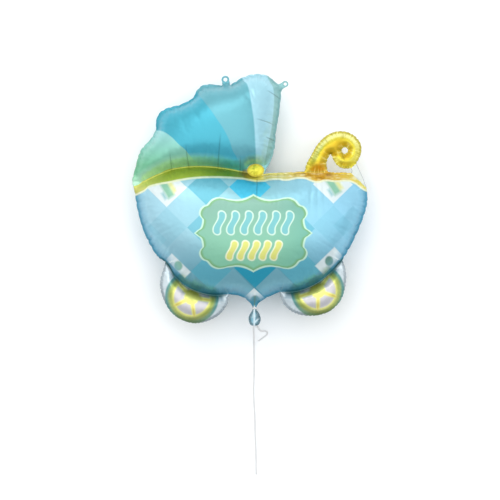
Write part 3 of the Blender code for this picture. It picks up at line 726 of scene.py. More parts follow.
def grid_points(outline, seed):
    """Points of a triangular grid over the outline's box, each a little out of place."""
    low, high = outline.min(axis=0), outline.max(axis=0)
    row_step = GRID_STEP * math.sqrt(3) / 2
    rows = []
    for k, y in enumerate(np.arange(low[1], high[1], row_step)):
        xs = np.arange(low[0] + (k % 2) * GRID_STEP / 2, high[0], GRID_STEP)
        rows.append(np.column_stack([xs, np.full(len(xs), y)]))
    grid = np.vstack(rows)
    chance = np.random.default_rng(seed)
    return grid + chance.uniform(-GRID_JITTER, GRID_JITTER, grid.shape) * GRID_STEP


def flat_foil(seed):
    """The fine triangulated flat sheet: its points, triangles and seams."""
    outline, holes, welds = outer_outline(), hole_outlines(), weld_lines()
    seams = Seams(outline, holes, welds)

    def within(points):
        return inside(points, outline) & ~np.any([inside(points, hole) for hole in holes], axis=0)

    net = Net()
    for line, closed, _ in seams.lines:
        net.add_line(line, closed)
    for line, closed, reach in seams.lines:
        for side in (1, -1):
            ring = beside(line, closed, side * reach)
            allowed = within(ring) & (seams.measure(ring)[0] >= -RING_SLACK)
            net.link(net.add_apart(ring, allowed, RING_SPACING), closed)
    grid = grid_points(outline, seed)
    net.add_apart(grid, within(grid), LEAST_SPACING)
    verts, _, faces, _, _, _ = delaunay_2d_cdt([Vector(p) for p in net.points], net.edges, [], 0, 1e-7)
    verts = np.array([tuple(v) for v in verts])
    faces = np.array(faces)
    faces = faces[within(verts[faces].mean(axis=1))]
    turn = np.cross(verts[faces[:, 1]] - verts[faces[:, 0]], verts[faces[:, 2]] - verts[faces[:, 0]])
    return verts, np.where(turn[:, None] > 0, faces, faces[:, ::-1]), seams, outline


def solid_heights(verts, side):
    """Height of the solid's surface over each point, seen from above for side 1 or below for side -1."""
    graph = bpy.context.evaluated_depsgraph_get()
    tree = BVHTree.FromObject(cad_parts["balloon"], graph)
    heights = []
    for x, y in verts:
        hit = tree.ray_cast(Vector((x, y, side)), Vector((0, 0, -side)))[0]
        heights.append(np.nan if hit is None else hit.z)
    return np.array(heights)


def added(name, data):
    """A new object with this data, in the scene."""
    made = bpy.data.objects.new(name, data)
    bpy.context.scene.collection.objects.link(made)
    return made


def neighbour_sums(faces, values):
    """For each point, the sum over its triangles' other corners and their count."""
    total = np.zeros_like(values)
    count = np.zeros(len(values))
    for a, b in ((0, 1), (1, 2), (2, 0), (1, 0), (2, 1), (0, 2)):
        np.add.at(total, faces[:, a], values[faces[:, b]])
        np.add.at(count, faces[:, a], 1)
    return total, count


def blow_up(corners, faces, flat, held):
    """Cloth simulation of both sheets, held at the seams, with gas between them."""
    mesh = bpy.data.meshes.new("sheets")
    mesh.from_pydata(corners.tolist(), [], faces.tolist())
    sheet = added("sheets", mesh)
    sheet.shape_key_add(name="Basis")
    cut = sheet.shape_key_add(name="cut")
    cut.data.foreach_set("co", flat.ravel())
    group = sheet.vertex_groups.new(name="held")
    group.add([int(k) for k in np.flatnonzero(held)], 1.0, "REPLACE")
    cloth = sheet.modifiers.new("gas", "CLOTH")
    cloth.collision_settings.use_collision = False
    settings = cloth.settings
    for key, value in CLOTH_VALUES.items():
        setattr(settings, key, value)
    settings.vertex_group_mass = "held"
    settings.rest_shape_key = cut
    settings.use_pressure = True
    settings.uniform_pressure_force = BLOW_PRESSURE
    settings.effector_weights.gravity = 0.0
    cloth.point_cache.frame_end = BLOW_FRAMES
    scene = bpy.context.scene
    for number in range(1, BLOW_FRAMES + 1):
        scene.frame_set(number)
    graph = bpy.context.evaluated_depsgraph_get()
    done = sheet.evaluated_get(graph).to_mesh()
    moved = np.empty(len(done.vertices) * 3)
    done.vertices.foreach_get("co", moved)
    sheet.evaluated_get(graph).to_mesh_clear()
    scene.frame_set(1)
    bpy.data.objects.remove(sheet)
    bpy.data.meshes.remove(mesh)
    return moved.reshape(-1, 3)


def edge_table(faces):
    """The triangles' directed sides, their edges, the edge of each side, and how many share each edge."""
    sides = np.vstack([faces[:, [0, 1]], faces[:, [1, 2]], faces[:, [2, 0]]])
    edges, index, count = np.unique(np.sort(sides, axis=1), axis=0, return_inverse=True, return_counts=True)
    return sides, edges, index.ravel(), count


def refine(verts, faces):
    """One step of Loop subdivision. The sheet's edge stays a smooth line of its own."""
    _, edges, index, count = edge_table(faces)
    opposite = np.concatenate([faces[:, 2], faces[:, 0], faces[:, 1]])
    far = np.zeros((len(edges), 3))
    np.add.at(far, index, verts[opposite])
    ends = verts[edges[:, 0]] + verts[edges[:, 1]]
    rim = count == 1
    middles = np.where(rim[:, None], ends / 2, ends * 3 / 8 + far / 8)

    total, valence = np.zeros_like(verts), np.zeros(len(verts))
    for a, b in ((0, 1), (1, 0)):
        np.add.at(total, edges[:, a], verts[edges[:, b]])
        np.add.at(valence, edges[:, a], 1)
    pull = np.where(valence > 3, 3 / (8 * np.maximum(valence, 1)), 3 / 16)[:, None]
    moved = (1 - valence[:, None] * pull) * verts + pull * total
    beside_rim = np.zeros_like(verts)
    for a, b in ((0, 1), (1, 0)):
        np.add.at(beside_rim, edges[rim, a], verts[edges[rim, b]])
    on_rim = np.zeros(len(verts), bool)
    on_rim[edges[rim].ravel()] = True
    moved[on_rim] = verts[on_rim] * 3 / 4 + beside_rim[on_rim] / 8

    first, second, third = (len(verts) + part for part in np.split(index, 3))
    a, b, c = faces.T
    finer = np.vstack([np.column_stack(corner) for corner in (
        (a, first, third), (first, b, second), (third, second, c), (first, second, third))])
    return np.vstack([moved, middles]), finer


def edge_pairs(faces):
    """The directed edges that only one triangle has: the sheet's outline and holes."""
    sides, _, index, count = edge_table(faces)
    return sides[count[index] == 1]


def is_small(points):
    """Which flat points lie on the handle or the wheels, where the puckers are finer."""
    x, y = points[:, 0] / UNIT, points[:, 1] / UNIT
    middle, side, top = WHEEL_PART
    return ((x > HANDLE_PART[0]) & (y > HANDLE_PART[1])) | ((np.abs(x - middle) > side) & (y < top))


def is_calm(points):
    """Which flat points lie on the tabs, the tail or the clear film, which have no puckers."""
    calm = in_tail(points) | inside(points, pattern_point(FLAT_FILM))
    for centre, radius in ((REAR_TAB_CENTRE, REAR_TAB_RADIUS), (FRONT_TAB_CENTRE, FRONT_TAB_RADIUS)):
        calm |= np.linalg.norm(points - pattern_point(centre), axis=1) < radius + CALM_RING
    return calm


class Puckers:
    """The places along the seams where the foil is gathered, with a depth and reach for each."""

    def __init__(self, seams, seed):
        chance = np.random.default_rng(seed)
        end = seams.along[-1] + seams.length[-1]
        places = [0.0]
        while places[-1] < end:
            k = np.searchsorted(seams.along, places[-1], side="right") - 1
            spacing = SMALL_SPACING if is_small(seams.starts[k:k + 1])[0] else LARGE_SPACING
            places.append(places[-1] + chance.uniform(*spacing))
        self.places = np.array(places)
        self.depths = chance.uniform(*DEPTH_SHARES, (2, len(places)))
        self.reaches = chance.uniform(*REACH_SHARES, len(places))

    def valley(self, along):
        """How near each place along the seams is to a gather, one at it, and its phase."""
        phase = np.interp(along, self.places, np.arange(len(self.places)))
        return (1 - np.abs(np.sin(math.pi * phase))) ** PUCKER_SHARPNESS, phase

    def press(self, flat, away, along, side):
        """How far each point of a sheet is pressed in."""
        small = is_small(flat)
        valley, _ = self.valley(along)
        depth = np.interp(along, self.places, self.depths[side]) * np.where(small, SMALL_DEPTH, LARGE_DEPTH)
        reach = np.interp(along, self.places, self.reaches) * np.where(small, SMALL_REACH, LARGE_REACH)
        inner = np.clip(away, 0, None)
        fade = (1 - LONG_SHARE) * np.exp(-inner / reach) + LONG_SHARE * np.exp(-inner / (LONG_REACH * reach))
        return np.where(is_calm(flat), 0.0, depth * valley * fade * (1 - np.exp(-inner / PUCKER_RISE)))

    def shift(self, flat, away, along, inward):
        """How far the seams themselves move, inwards in the plane and up or down."""
        valley, phase = self.valley(along)
        inner = np.clip(away, 0, None)
        loose = ~is_calm(flat) * np.interp(along, self.places, self.depths[0])
        pull = SCALLOP_DEPTH * valley * np.exp(-inner / SCALLOP_REACH) * loose
        lift = SEAM_LIFT * np.cos(math.pi * phase) * np.exp(-inner / SEAM_LIFT_REACH) * loose
        return np.column_stack([inward * pull[:, None], lift])


def slack_heights(verts, placed, faces, held, side):
    """Heights of one sheet before the gas: the solid's surface, smoothed and held at the seams."""
    height = solid_heights(placed, side)
    height = np.where(np.isnan(height) | held, seam_plane(verts) + side * FOIL_THICKNESS / 2, height)
    for _ in range(START_SMOOTHING):
        total, count = neighbour_sums(faces, height)
        height = np.where(held, height, 0.5 * height + 0.5 * total / count)
    return height + np.where(held, side * neck_gather(verts), 0.0)


def foil_sheets():
    """Both blown-up sheets, their triangles, flat points, seam distances and places along the seams."""
    verts, faces, seams, outline = flat_foil(SHEET_SEED)
    centre = (outline.min(axis=0) + outline.max(axis=0)) / 2
    away, _ = seams.measure(verts)
    placed = verts - centre
    held = (away < HELD_REACH) | in_tail(verts) | inside(verts, pattern_point(FLAT_FILM))
    corners = np.vstack([np.column_stack([placed, slack_heights(verts, placed, faces, held, side)])
                         for side in (1, -1)])
    count = len(verts)
    cut = np.column_stack([np.vstack([placed, placed]) * FLAT_SCALE, np.zeros(2 * count)])
    every = np.vstack([faces, faces[:, ::-1] + count])
    corners = blow_up(corners, every, cut, np.concatenate([held, held]))
    front, finer = refine(corners[:count], faces)
    back, _ = refine(corners[count:], faces)
    flat = refine(np.column_stack([verts, np.zeros(count)]), faces)[0][:, :2]
    away, along = seams.measure(flat)
    puckers = Puckers(seams, SHEET_SEED)
    moved = puckers.shift(flat, away, along, seams.inward[seams.nearest])
    front += moved
    back += moved
    front[:, 2] -= puckers.press(flat, away, along, 0)
    back[:, 2] += puckers.press(flat, away, along, 1)
    back[:, 2] = np.maximum(back[:, 2], 0.0)
    front[:, 2] = np.maximum(front[:, 2], back[:, 2] + FOIL_THICKNESS / 2)
    return front, back, finer, flat, away, along


def neck_gather(verts):
    """Extra depth where the foil is drawn together at the tie."""
    x, y = pattern_point(NECK_MIDDLE)
    across = np.clip(1 - np.abs(verts[:, 0] - x) / (NECK_WIDTH / 2), 0, 1)
    beyond = np.clip(np.abs(verts[:, 1] - y) - NECK_LENGTH / 2, 0, None)
    return (NECK_DEPTH - SEAM_THICKNESS) / 2 * across * np.exp(-(beyond / NECK_FLARE) ** 2)


def is_clear_film(points):
    """Which flat points lie on the unprinted foil: the tail below the tie, and the web at the handle."""
    below_tie = points[:, 1] < pattern_point(NECK_MIDDLE)[1] - TIE_WIDTH / 2
    return (in_tail(points) & below_tie) | inside(points, pattern_point(FLAT_FILM))


def lay_maps(mesh, every, walls, flat, away, along):
    """The map that the colours are kept on, and the map of the seams. Walls lie on the front's part."""
    count = len(flat)
    low, high = flat.min(axis=0), flat.max(axis=0)
    share = (flat - low) / (high - low).max()
    spread = np.vstack([share * size + (start, FRONT_MAP[1]) for size, start in (FRONT_MAP, BACK_MAP)])
    corners = every.ravel()
    mapped = corners.copy()
    mapped[-walls.size:] %= count
    bake = mesh.uv_layers.new(name="OFBake")
    bake.data.foreach_set("uv", spread[mapped].ravel())
    seam_map = mesh.uv_layers.new(name="Seam")
    measured = np.column_stack([along, away])[corners % count]
    jumps = np.ptp(measured[:, 0].reshape(-1, 3), axis=1) > JUMP
    measured[np.repeat(jumps, 3), 1] = 1.0
    seam_map.data.foreach_set("uv", measured.ravel())


def make_foil(finish, film):
    """The balloon's foil as one closed mesh, with its print's material and the clear parts' material."""
    front, back, faces, flat, away, along = foil_sheets()
    count = len(front)
    rim = edge_pairs(faces)
    walls = np.vstack([np.column_stack([rim[:, 1], rim[:, 0], rim[:, 0] + count]),
                       np.column_stack([rim[:, 1], rim[:, 0] + count, rim[:, 1] + count])])
    every = np.vstack([faces, faces[:, ::-1] + count, walls])
    mesh = bpy.data.meshes.new("foil")
    mesh.from_pydata(np.vstack([front, back]).tolist(), [], every.tolist())
    mesh.shade_smooth()
    mesh.materials.append(finish)
    mesh.materials.append(film)
    clear = is_clear_film(flat[faces].mean(axis=1))
    clear_rim = is_clear_film(flat[rim].mean(axis=1))
    slots = np.concatenate([clear, clear, clear_rim, clear_rim]).astype(np.int32)
    mesh.polygons.foreach_set("material_index", slots)
    lay_maps(mesh, every, walls, flat, away, along)
    mesh.validate()
    foil = added("foil", mesh)
    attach(foil, "root")
    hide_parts("balloon")
    return foil


def ink(colour):
    """A display colour from 0 to 255 as the shader's linear colour."""
    parts = [value / 255 for value in colour]
    return (*[v / 12.92 if v <= 0.04045 else ((v + 0.055) / 1.055) ** 2.4 for v in parts], 1.0)


class Field:
    """A number that varies over a surface, made of shader nodes."""

    def __init__(self, tree, socket):
        self.tree, self.socket = tree, socket

    def math(self, kind, *others, clamp=False):
        """This number and others put through one math node."""
        node = self.tree.nodes.new("ShaderNodeMath")
        node.operation = kind
        node.use_clamp = clamp
        for slot, value in zip(node.inputs, (self, *others)):
            feed(self.tree, slot, value)
        return Field(self.tree, node.outputs[0])

    def __add__(self, other):
        return self.math("ADD", other)

    def __sub__(self, other):
        return self.math("SUBTRACT", other)

    def __mul__(self, other):
        return self.math("MULTIPLY", other)

    def __truediv__(self, other):
        return self.math("DIVIDE", other)

    def __and__(self, other):
        return self.math("MINIMUM", other)

    def __or__(self, other):
        return self.math("MAXIMUM", other)

    def __invert__(self):
        return self.math("MULTIPLY_ADD", -1.0, 1.0)

    def __abs__(self):
        return self.math("ABSOLUTE")

    def over(self, limit, soft):
        """One where this is above the limit, none where it is below, with a soft edge."""
        return ((self - limit) / soft).math("ADD", 0.5, clamp=True)

    def under(self, limit, soft):
        """One where this is below the limit, none where it is above, with a soft edge."""
        return ~self.over(limit, soft)

    def between(self, low, high, soft):
        """One from low to high, with soft edges."""
        return self.over(low, soft) & self.under(high, soft)

    def along(self, points):
        """This number led through the smooth line of the points."""
        places, heights = zip(*points)
        low, high = min(heights), max(heights)
        node = self.tree.nodes.new("ShaderNodeFloatCurve")
        line = node.mapping.curves[0]
        shares = [((x - places[0]) / (places[-1] - places[0]), (y - low) / (high - low)) for x, y in points]
        line.points[0].location, line.points[1].location = shares[0], shares[-1]
        for share in shares[1:-1]:
            line.points.new(*share)
        node.mapping.update()
        place = (self - places[0]).math("DIVIDE", places[-1] - places[0], clamp=True)
        feed(self.tree, node.inputs["Value"], place)
        return Field(self.tree, node.outputs[0]).math("MULTIPLY_ADD", high - low, low)


def feed(tree, slot, value):
    """Set a socket from a field, a colour or number, or another socket."""
    if isinstance(value, Field):
        tree.links.new(value.socket, slot)
    elif isinstance(value, bpy.types.NodeSocket):
        tree.links.new(value, slot)
    else:
        slot.default_value = value


def any_of(masks):
    """Where any of the masks is laid."""
    joint = masks[0]
    for mask in masks[1:]:
        joint = joint | mask
    return joint


def mixed(tree, share, under, over):
    """The mix of two colours by a share."""
    node = tree.nodes.new("ShaderNodeMix")
    node.data_type = "RGBA"
    feed(tree, node.inputs[0], share)
    for slot, colour in ((node.inputs[6], under), (node.inputs[7], over)):
        feed(tree, slot, colour if isinstance(colour, bpy.types.NodeSocket) else ink(colour))
    return node.outputs[2]


def ramp(tree, place, stops):
    """The colour that a row of inks with their places has at a place."""
    low, high = stops[0][0], stops[-1][0]
    node = tree.nodes.new("ShaderNodeValToRGB")
    feed(tree, node.inputs[0], (place - low) / (high - low))
    marks = node.color_ramp.elements
    marks[0].color, marks[1].color = ink(stops[0][1]), ink(stops[-1][1])
    for where, colour in stops[1:-1]:
        marks.new((where - low) / (high - low)).color = ink(colour)
    return node.outputs[0]


def noise(tree, place, scale, detail):
    """A smooth random field about one half."""
    node = tree.nodes.new("ShaderNodeTexNoise")
    feed(tree, node.inputs["Vector"], place)
    node.inputs["Scale"].default_value = scale
    node.inputs["Detail"].default_value = detail
    return Field(tree, node.outputs[0])


def split(tree, vector):
    """The first two numbers of a vector as fields."""
    node = tree.nodes.new("ShaderNodeSeparateXYZ")
    feed(tree, node.inputs[0], vector)
    return Field(tree, node.outputs[0]), Field(tree, node.outputs[1])


def joined(tree, x, y):
    """The vector that two fields make."""
    node = tree.nodes.new("ShaderNodeCombineXYZ")
    feed(tree, node.inputs[0], x)
    feed(tree, node.inputs[1], y)
    return node.outputs[0]


def map_layer(tree, name):
    """The two numbers that a map of the mesh keeps, as fields."""
    layer = tree.nodes.new("ShaderNodeUVMap")
    layer.uv_map = name
    return split(tree, layer.outputs[0])


def object_place(tree):
    """The place on the object, in metres."""
    return tree.nodes.new("ShaderNodeTexCoord").outputs["Object"]


class Print:
    """The foil's colours, laid one over the other on a picture of the front.

    Places are in pixels of the picture and distances from the seams in metres. A factor on a mask is how
    much its colour covers.
    """

    def __init__(self, tree):
        self.tree = tree
        self.place = object_place(tree)
        x, y = split(tree, self.place)
        middle = outline_middle()
        self.u = x.math("MULTIPLY_ADD", 1 / UNIT, middle[0] / UNIT + ORIGIN_COLUMN)
        self.v = y.math("MULTIPLY_ADD", -1 / UNIT, ORIGIN_ROW - middle[1] / UNIT)
        self.colour = None

    def lay(self, mask, colour):
        """Lay a colour over what is there."""
        self.colour = mixed(self.tree, mask, self.colour, colour)

    def grade(self, field, low, high, first, second):
        """The colour that goes from the first to the second as the field goes from low to high."""
        return mixed(self.tree, (field - low).math("DIVIDE", high - low, clamp=True), first, second)

    def around(self, middle):
        """Offsets from a point and the distance to it."""
        right, down = self.u - middle[0], self.v - middle[1]
        return right, down, (right * right + down * down).math("SQRT")


def weld_line(weld, ends):
    """A weld of the pattern in the picture's pixels, led on to its ends, from left to right."""
    return sorted([(ORIGIN_COLUMN + x, ORIGIN_ROW - y) for x, y in weld] + list(ends))


def outline_middle():
    """The middle of the outline's box in pattern metres."""
    outline = outer_outline()
    return (outline.min(axis=0) + outline.max(axis=0)) / 2


def diamond(sheet, middle, size=1.0):
    """The mask of one diamond of the lattice."""
    right = abs(sheet.u - middle[0]) / DIAMOND_RADII[0]
    down = abs(sheet.v - middle[1]) / DIAMOND_RADII[1]
    return (right + down).under(size, DIAMOND_EDGE)


def bowl_inks(sheet):
    """The bowl: a pale lattice of diamonds, with white ones that hold small motifs."""
    u, v = sheet.u, sheet.v
    ground = sheet.grade(u, *LEFT_GRADE, BODY_LEFT, BODY_CENTRE)
    ground = sheet.grade(u, *RIGHT_GRADE, ground, BODY_RIGHT)
    # Darker towards the bottom: partly the print, partly painted shade.
    sheet.colour = sheet.grade(v, *LOW_GRADE, ground, BODY_LOW)
    for middles, colour, share in TINTED_DIAMONDS:
        for middle in middles:
            sheet.lay(diamond(sheet, middle) * share, colour)
    for middle in WHITE_DIAMONDS:
        sheet.lay(diamond(sheet, middle, WHITE_SIZE) * 0.9, WHITE)
    for middle in WHITE_DIAMONDS[:2]:
        motif(sheet, middle)
    patch(sheet, LOW_SPOT, LOW_SPOT_RADII, DEEP_LEAF)
    funnel = v.over(FUNNEL_TOP, 5) & abs(u - LOW_SPOT[0]).between(*FUNNEL_SIDES, 2.0)
    sheet.lay(funnel * 0.6, FUNNEL_SHADE)
    for x, y, long, wide, leaf in LOWER_WHITES:
        right, down = (u - x) / (2 * DIAMOND_RADII[0]), (v - y) / (2 * DIAMOND_RADII[1])
        mask = abs(right + down).under(long, WHITE_EDGE) & abs(right - down).under(wide, WHITE_EDGE)
        sheet.lay(mask * 0.85, WHITE)
        patch(sheet, (x, y), MOTIF_SPOT, leaf)


def oval(sheet, middle, radii):
    """The square of the distance from a point, measured in radii."""
    right, down = (sheet.u - middle[0]) / radii[0], (sheet.v - middle[1]) / radii[1]
    return right * right + down * down


def patch(sheet, middle, radii, colour):
    """A small plain round patch."""
    sheet.lay(oval(sheet, middle, radii).under(1.0, 0.7) * 0.85, colour)


def motif(sheet, middle):
    """A plain leaf-like motif in a white diamond: a slanting stripe, a patch and a dot."""
    right, down, _ = sheet.around(middle)
    across = (right * MOTIF_LEAN[0] - down * MOTIF_LEAN[1]) / MOTIF_SCALE
    length = (right * MOTIF_LEAN[1] + down * MOTIF_LEAN[0]) / MOTIF_SCALE
    for wide, long, share, colour in MOTIF_FORMS:
        form = across.between(*wide) & length.between(*long) & down.under(MOTIF_LOW, 2)
        sheet.lay(form * share, colour)


def label_inks(sheet):
    """The plain cartouche with its two rows of strokes. Returns the strokes' mask."""
    right, down, away = sheet.around(LABEL_MIDDLE)
    turn = abs(down).math("ARCTAN2", abs(right)) * math.degrees(1)
    edge = turn.along(LABEL_EDGE) - away
    fill = sheet.grade(sheet.v, *LABEL_GRADE, LABEL_TOP, LABEL_LOW)
    fill = mixed(sheet.tree, sheet.u.over(LABEL_SIDE_FROM, 40) * 0.6, fill, LABEL_SIDE)
    sheet.lay(edge.over(0, PRINT_EDGE), LABEL_RIM)
    sheet.lay(edge.over(LABEL_LINE, PRINT_EDGE), LABEL_OLIVE)
    sheet.lay(edge.over(LABEL_LINE + LABEL_SHADE_LINE, 3.0), fill)
    raised = []
    for row, fills, rim in ((UPPER_ROW, STROKE_TEAL, STROKE_MINT), (LOWER_ROW, STROKE_YELLOW, CREAM)):
        middle, start, pitch, strokes, half, radius = row
        down = sheet.v - middle
        sway = (down * STROKE_SWAY[0]).math("SINE") * STROKE_SWAY[1]
        lean = sheet.u + down * STROKE_LEAN + sway - start
        beside = abs(lean.math("PINGPONG", pitch / 2) - pitch / 2)
        beyond = (abs(down) - half).math("MAXIMUM", 0.0)
        reach = (beside * beside + beyond * beyond).math("SQRT")
        span = lean.between(0, pitch * strokes, 0.5)
        sheet.lay(reach.under(radius + STROKE_RIM, 0.9) & span, rim)
        sheet.lay(reach.under(radius, 0.9) & span, fills)
        raised.append(reach.under(radius + 0.6, 1.6) & span)
    return any_of(raised)


def rim_inks(sheet):
    """The gold rim above the bowl's edge, with its cream line, and painted shade and highlights on its
    crinkles.
    """
    u, v = sheet.u, sheet.v
    edge = u.along(RIM_EDGE_LINE)
    sheet.lay((v - edge).under(CREAM_WIDTH, 0.9), CREAM)
    sheet.lay((v - edge).under(0.0, 0.9), ramp(sheet.tree, u, RIM_INKS))
    rumple = noise(sheet.tree, joined(sheet.tree, u / RIM_CREASE[0], v / RIM_CREASE[1]), 1.0, 1.5)
    gold = (v - edge).under(-1.0, 2.0) & u.over(GOLD_START, 10)
    # Painted shade in the crinkles near the handle, and painted highlights on them along the gold.
    sheet.lay(gold & rumple.under(0.43, 0.08) & u.between(*BROWN_SPAN, 14) * 0.75, RIM_CRINKLE_SHADE)
    sheet.lay(gold & rumple.over(0.58, 0.08) * 0.6, RIM_CRINKLE_HIGHLIGHT)


def hood_inks(sheet):
    """The hood's gores, greener towards the weld: a painted reflection of the rim."""
    tree, u, v = sheet.tree, sheet.u, sheet.v
    # The lower hood turns greener: a painted reflection of the rim.
    gores = sheet.grade(v, *MINT_GRADE, MINT, MINT_REFLECTED_GREEN)
    cyan = (v - u.along(FIRST_GORE_LINE)).under(0, GORE_EDGE) | u.over(CYAN_START, 1.0)
    gores = mixed(tree, cyan, gores, CYAN)
    for line, colour in ((SECOND_GORE_LINE, LIGHT_CYAN), (THIRD_GORE_LINE, PALE_BLUE),
                         (HOOD_STRIP_LINE, STRIP_MINT)):
        gores = mixed(tree, (u - v.along(line)).over(0, GORE_EDGE), gores, colour)
    depth = u.along(weld_line(HOOD_WELD, HOOD_WELD_ENDS)) - v
    # Painted reflection of the yellow-green rim: green near the weld, teal further right.
    green = depth.under(9, 9) & u.under(GREEN_END, 12)
    gores = mixed(tree, green * 0.85, gores, sheet.grade(u, *GREEN_GRADE, HOOD_REFLECTED_GREEN, HOOD_REFLECTED_TEAL))
    dark = depth.under(5, 7) & u.between(*DARK_SPAN, 16)
    gores = mixed(tree, dark * 0.8, gores, HOOD_DARK)
    above = depth.over(0, 0.6) & u.under(HOOD_END, 1.0)
    sheet.lay(above, gores)
    # Painted highlight: a thin lime line where the weld's flange catches the light.
    sheet.lay(abs(depth - 0.2).under(0.7, 0.7) & u.under(WELD_LIME_END, 3.0), WELD_HIGHLIGHT_LIME)


def handle_depth(sheet):
    """How far a place on the handle is from its outer edge: along its curl, and beside its arm."""
    right, down, reach = sheet.around(CURL_MIDDLE)
    turn = (down * -1).math("ARCTAN2", right * -1) * math.degrees(1)
    curl = turn.along(CURL_EDGE) - reach
    arm = (sheet.u - ARM_EDGE[0]) * ARM_NORMAL[0] + (sheet.v - ARM_EDGE[1]) * ARM_NORMAL[1]
    low = sheet.v.over(ARM_TOP, 4) & sheet.u.under(ARM_SIDE, 1.0)
    return curl + (arm - curl) * low


def handle_inks(sheet, away, streaks):
    """The handle: a painted highlight along its outer side, gold painted shade inside the curl and orange at
    its foot.
    """
    part = sheet.v.under(HANDLE_LOW, PRINT_EDGE) & sheet.u.over(HANDLE_START, 1.0)
    depth = handle_depth(sheet)
    sheet.lay(part, HANDLE_YELLOW)
    # Painted shade inside the curl, then a painted highlight along the crest.
    sheet.lay(part & depth.over(HANDLE_INNER_DEPTH, 4.0) * 0.85, HANDLE_SHADE_GOLD)
    turned = sheet.u.over(CREST_END[0], 6) & sheet.v.over(CREST_END[1], 8)
    crest = depth.between(*CREST_DEPTHS, 2.4) & sheet.v.under(CREST_LOW, 16) & ~(turned * 0.75)
    sheet.lay(part & crest * 0.9, HANDLE_HIGHLIGHT)
    sheet.lay(part & sheet.v.over(FOOT_TOP, 9) & depth.over(5, 6) * 0.7, HANDLE_FOOT_GOLD)
    # Painted shade along the seams, and painted light and shade on the crinkles.
    sheet.lay(part & away.under(*HANDLE_BAND) * 0.6, HANDLE_EDGE_SHADE)
    sheet.lay(part & streaks.over(0.08, 0.10) * 0.5, HANDLE_HIGHLIGHT)
    sheet.lay(part & streaks.under(-0.07, 0.10) * 0.6, HANDLE_EDGE_SHADE)


def button_inks(sheet):
    """The yellow pivot button."""
    patch(sheet, BUTTON_SHADE_MIDDLE, BUTTON_SHADE_RADII, BUTTON_SHADE)
    reach = oval(sheet, BUTTON_MIDDLE, BUTTON_RADII).math("SQRT")
    sheet.lay(reach.under(1.0, 0.12), sheet.grade(reach, 0.6, 1.0, BUTTON_YELLOW, BUTTON_EDGE))


def wheel_inks(sheet, border, side, weld, hub, turn):
    """One wheel below its weld: tyre, rim, spokes and pearly windows, with painted shade along its seam, its
    weld and over its hub.
    """
    depth = sheet.v - sheet.u.along(weld)
    part = depth.over(0, PRINT_EDGE) & side
    right, down, away = sheet.around(hub)
    angle = (down * -1).math("ARCTAN2", right) * math.degrees(1) - turn
    offset = (angle + 720).math("PINGPONG", 180 / SPOKES) * math.radians(1)
    beside = offset.math("SINE") * away
    low = (down / TYRE_RADIUS).over(0.75, 0.5)
    sheet.lay(part, PEARL)
    # Painted shade: the pearly foil darkens along its seam.
    sheet.lay(part & border.under(*PEARL_BAND) * 0.6, PEARL_SEAM_SHADE)
    sheet.lay(part & away.under(TYRE_RADIUS, 1.4), mixed(sheet.tree, low, TYRE_TEAL, TYRE_OLIVE))
    sheet.lay(part & away.under(TYRE_INNER, 3.4), mixed(sheet.tree, low, WHEEL_LIME, WHEEL_OLIVE))
    sheet.lay(part & away.under(RIM_INNER, 2.6), WHEEL_YELLOW)
    window = away.between(WINDOW_INNER, WINDOW_OUTER, 1.8) & beside.over(SPOKE_HALF, 1.6)
    sheet.lay(part & window, WINDOW_PEARL)
    spoke = beside.under(SPOKE_CORE, 0.9) & away.between(SPOKE_START, RIM_INNER, 4.0)
    sheet.lay(part & spoke * 0.55, WHEEL_ORANGE)
    shade = abs(depth - 0.5).under(2.2, 3.0) & (abs(right) / WHEEL_SHADE_SIDE).over(0.8, 0.7)
    sheet.lay(shade * abs(right).under(WHEEL_SHADE_END, 6.0) * 0.8, WELD_SHADE)
    sheet.lay(part & depth.under(5.0, 7.0) & away.under(HUB_RADIUS, 5.0) * 0.85, HUB_SHADE)
    sheet.lay(abs(depth).under(0.9, 1.0) & abs(right).under(TYRE_RADIUS, 6.0) * 0.7, WELD_SHADE)


def seam_fields(tree):
    """Distance from the nearest seam, and the crinkles that start there."""
    along, away = map_layer(tree, "Seam")
    spread = joined(tree, along / CRINKLE_PITCH, away / (CRINKLE_PITCH * CRINKLE_STRETCH))
    streaks = noise(tree, spread, 1.0, 2.0)
    fade = (away.math("MAXIMUM", 0.0) / -CRINKLE_REACH).math("EXPONENT")
    return away, (streaks - 0.5) * fade


def crease_mask(sheet, start, end):
    """A thin tapering line from one point to another."""
    length = math.dist(start, end)
    x, y = (end[0] - start[0]) / length, (end[1] - start[1]) / length
    right, down = sheet.u - start[0], sheet.v - start[1]
    beside = abs(right * y - down * x)
    return beside.under(CREASE_HALF, 2 * CREASE_HALF) & (right * x + down * y).between(0, length, length / 2)


def new_finish(name, metal, roughness):
    """A new material, its tree and its own shader with plain values."""
    finish = bpy.data.materials.new(name)
    finish.use_nodes = True
    shader = finish.node_tree.nodes["Principled BSDF"]
    shader.inputs["Metallic"].default_value = metal
    shader.inputs["Roughness"].default_value = roughness
    return finish, finish.node_tree, shader


def emboss(tree, shader, height, distance, strength=1.0):
    """Raise a surface's shading by a field."""
    bump = tree.nodes.new("ShaderNodeBump")
    bump.inputs["Strength"].default_value = strength
    bump.inputs["Distance"].default_value = distance
    feed(tree, bump.inputs["Height"], height)
    feed(tree, shader.inputs["Normal"], bump.outputs[0])


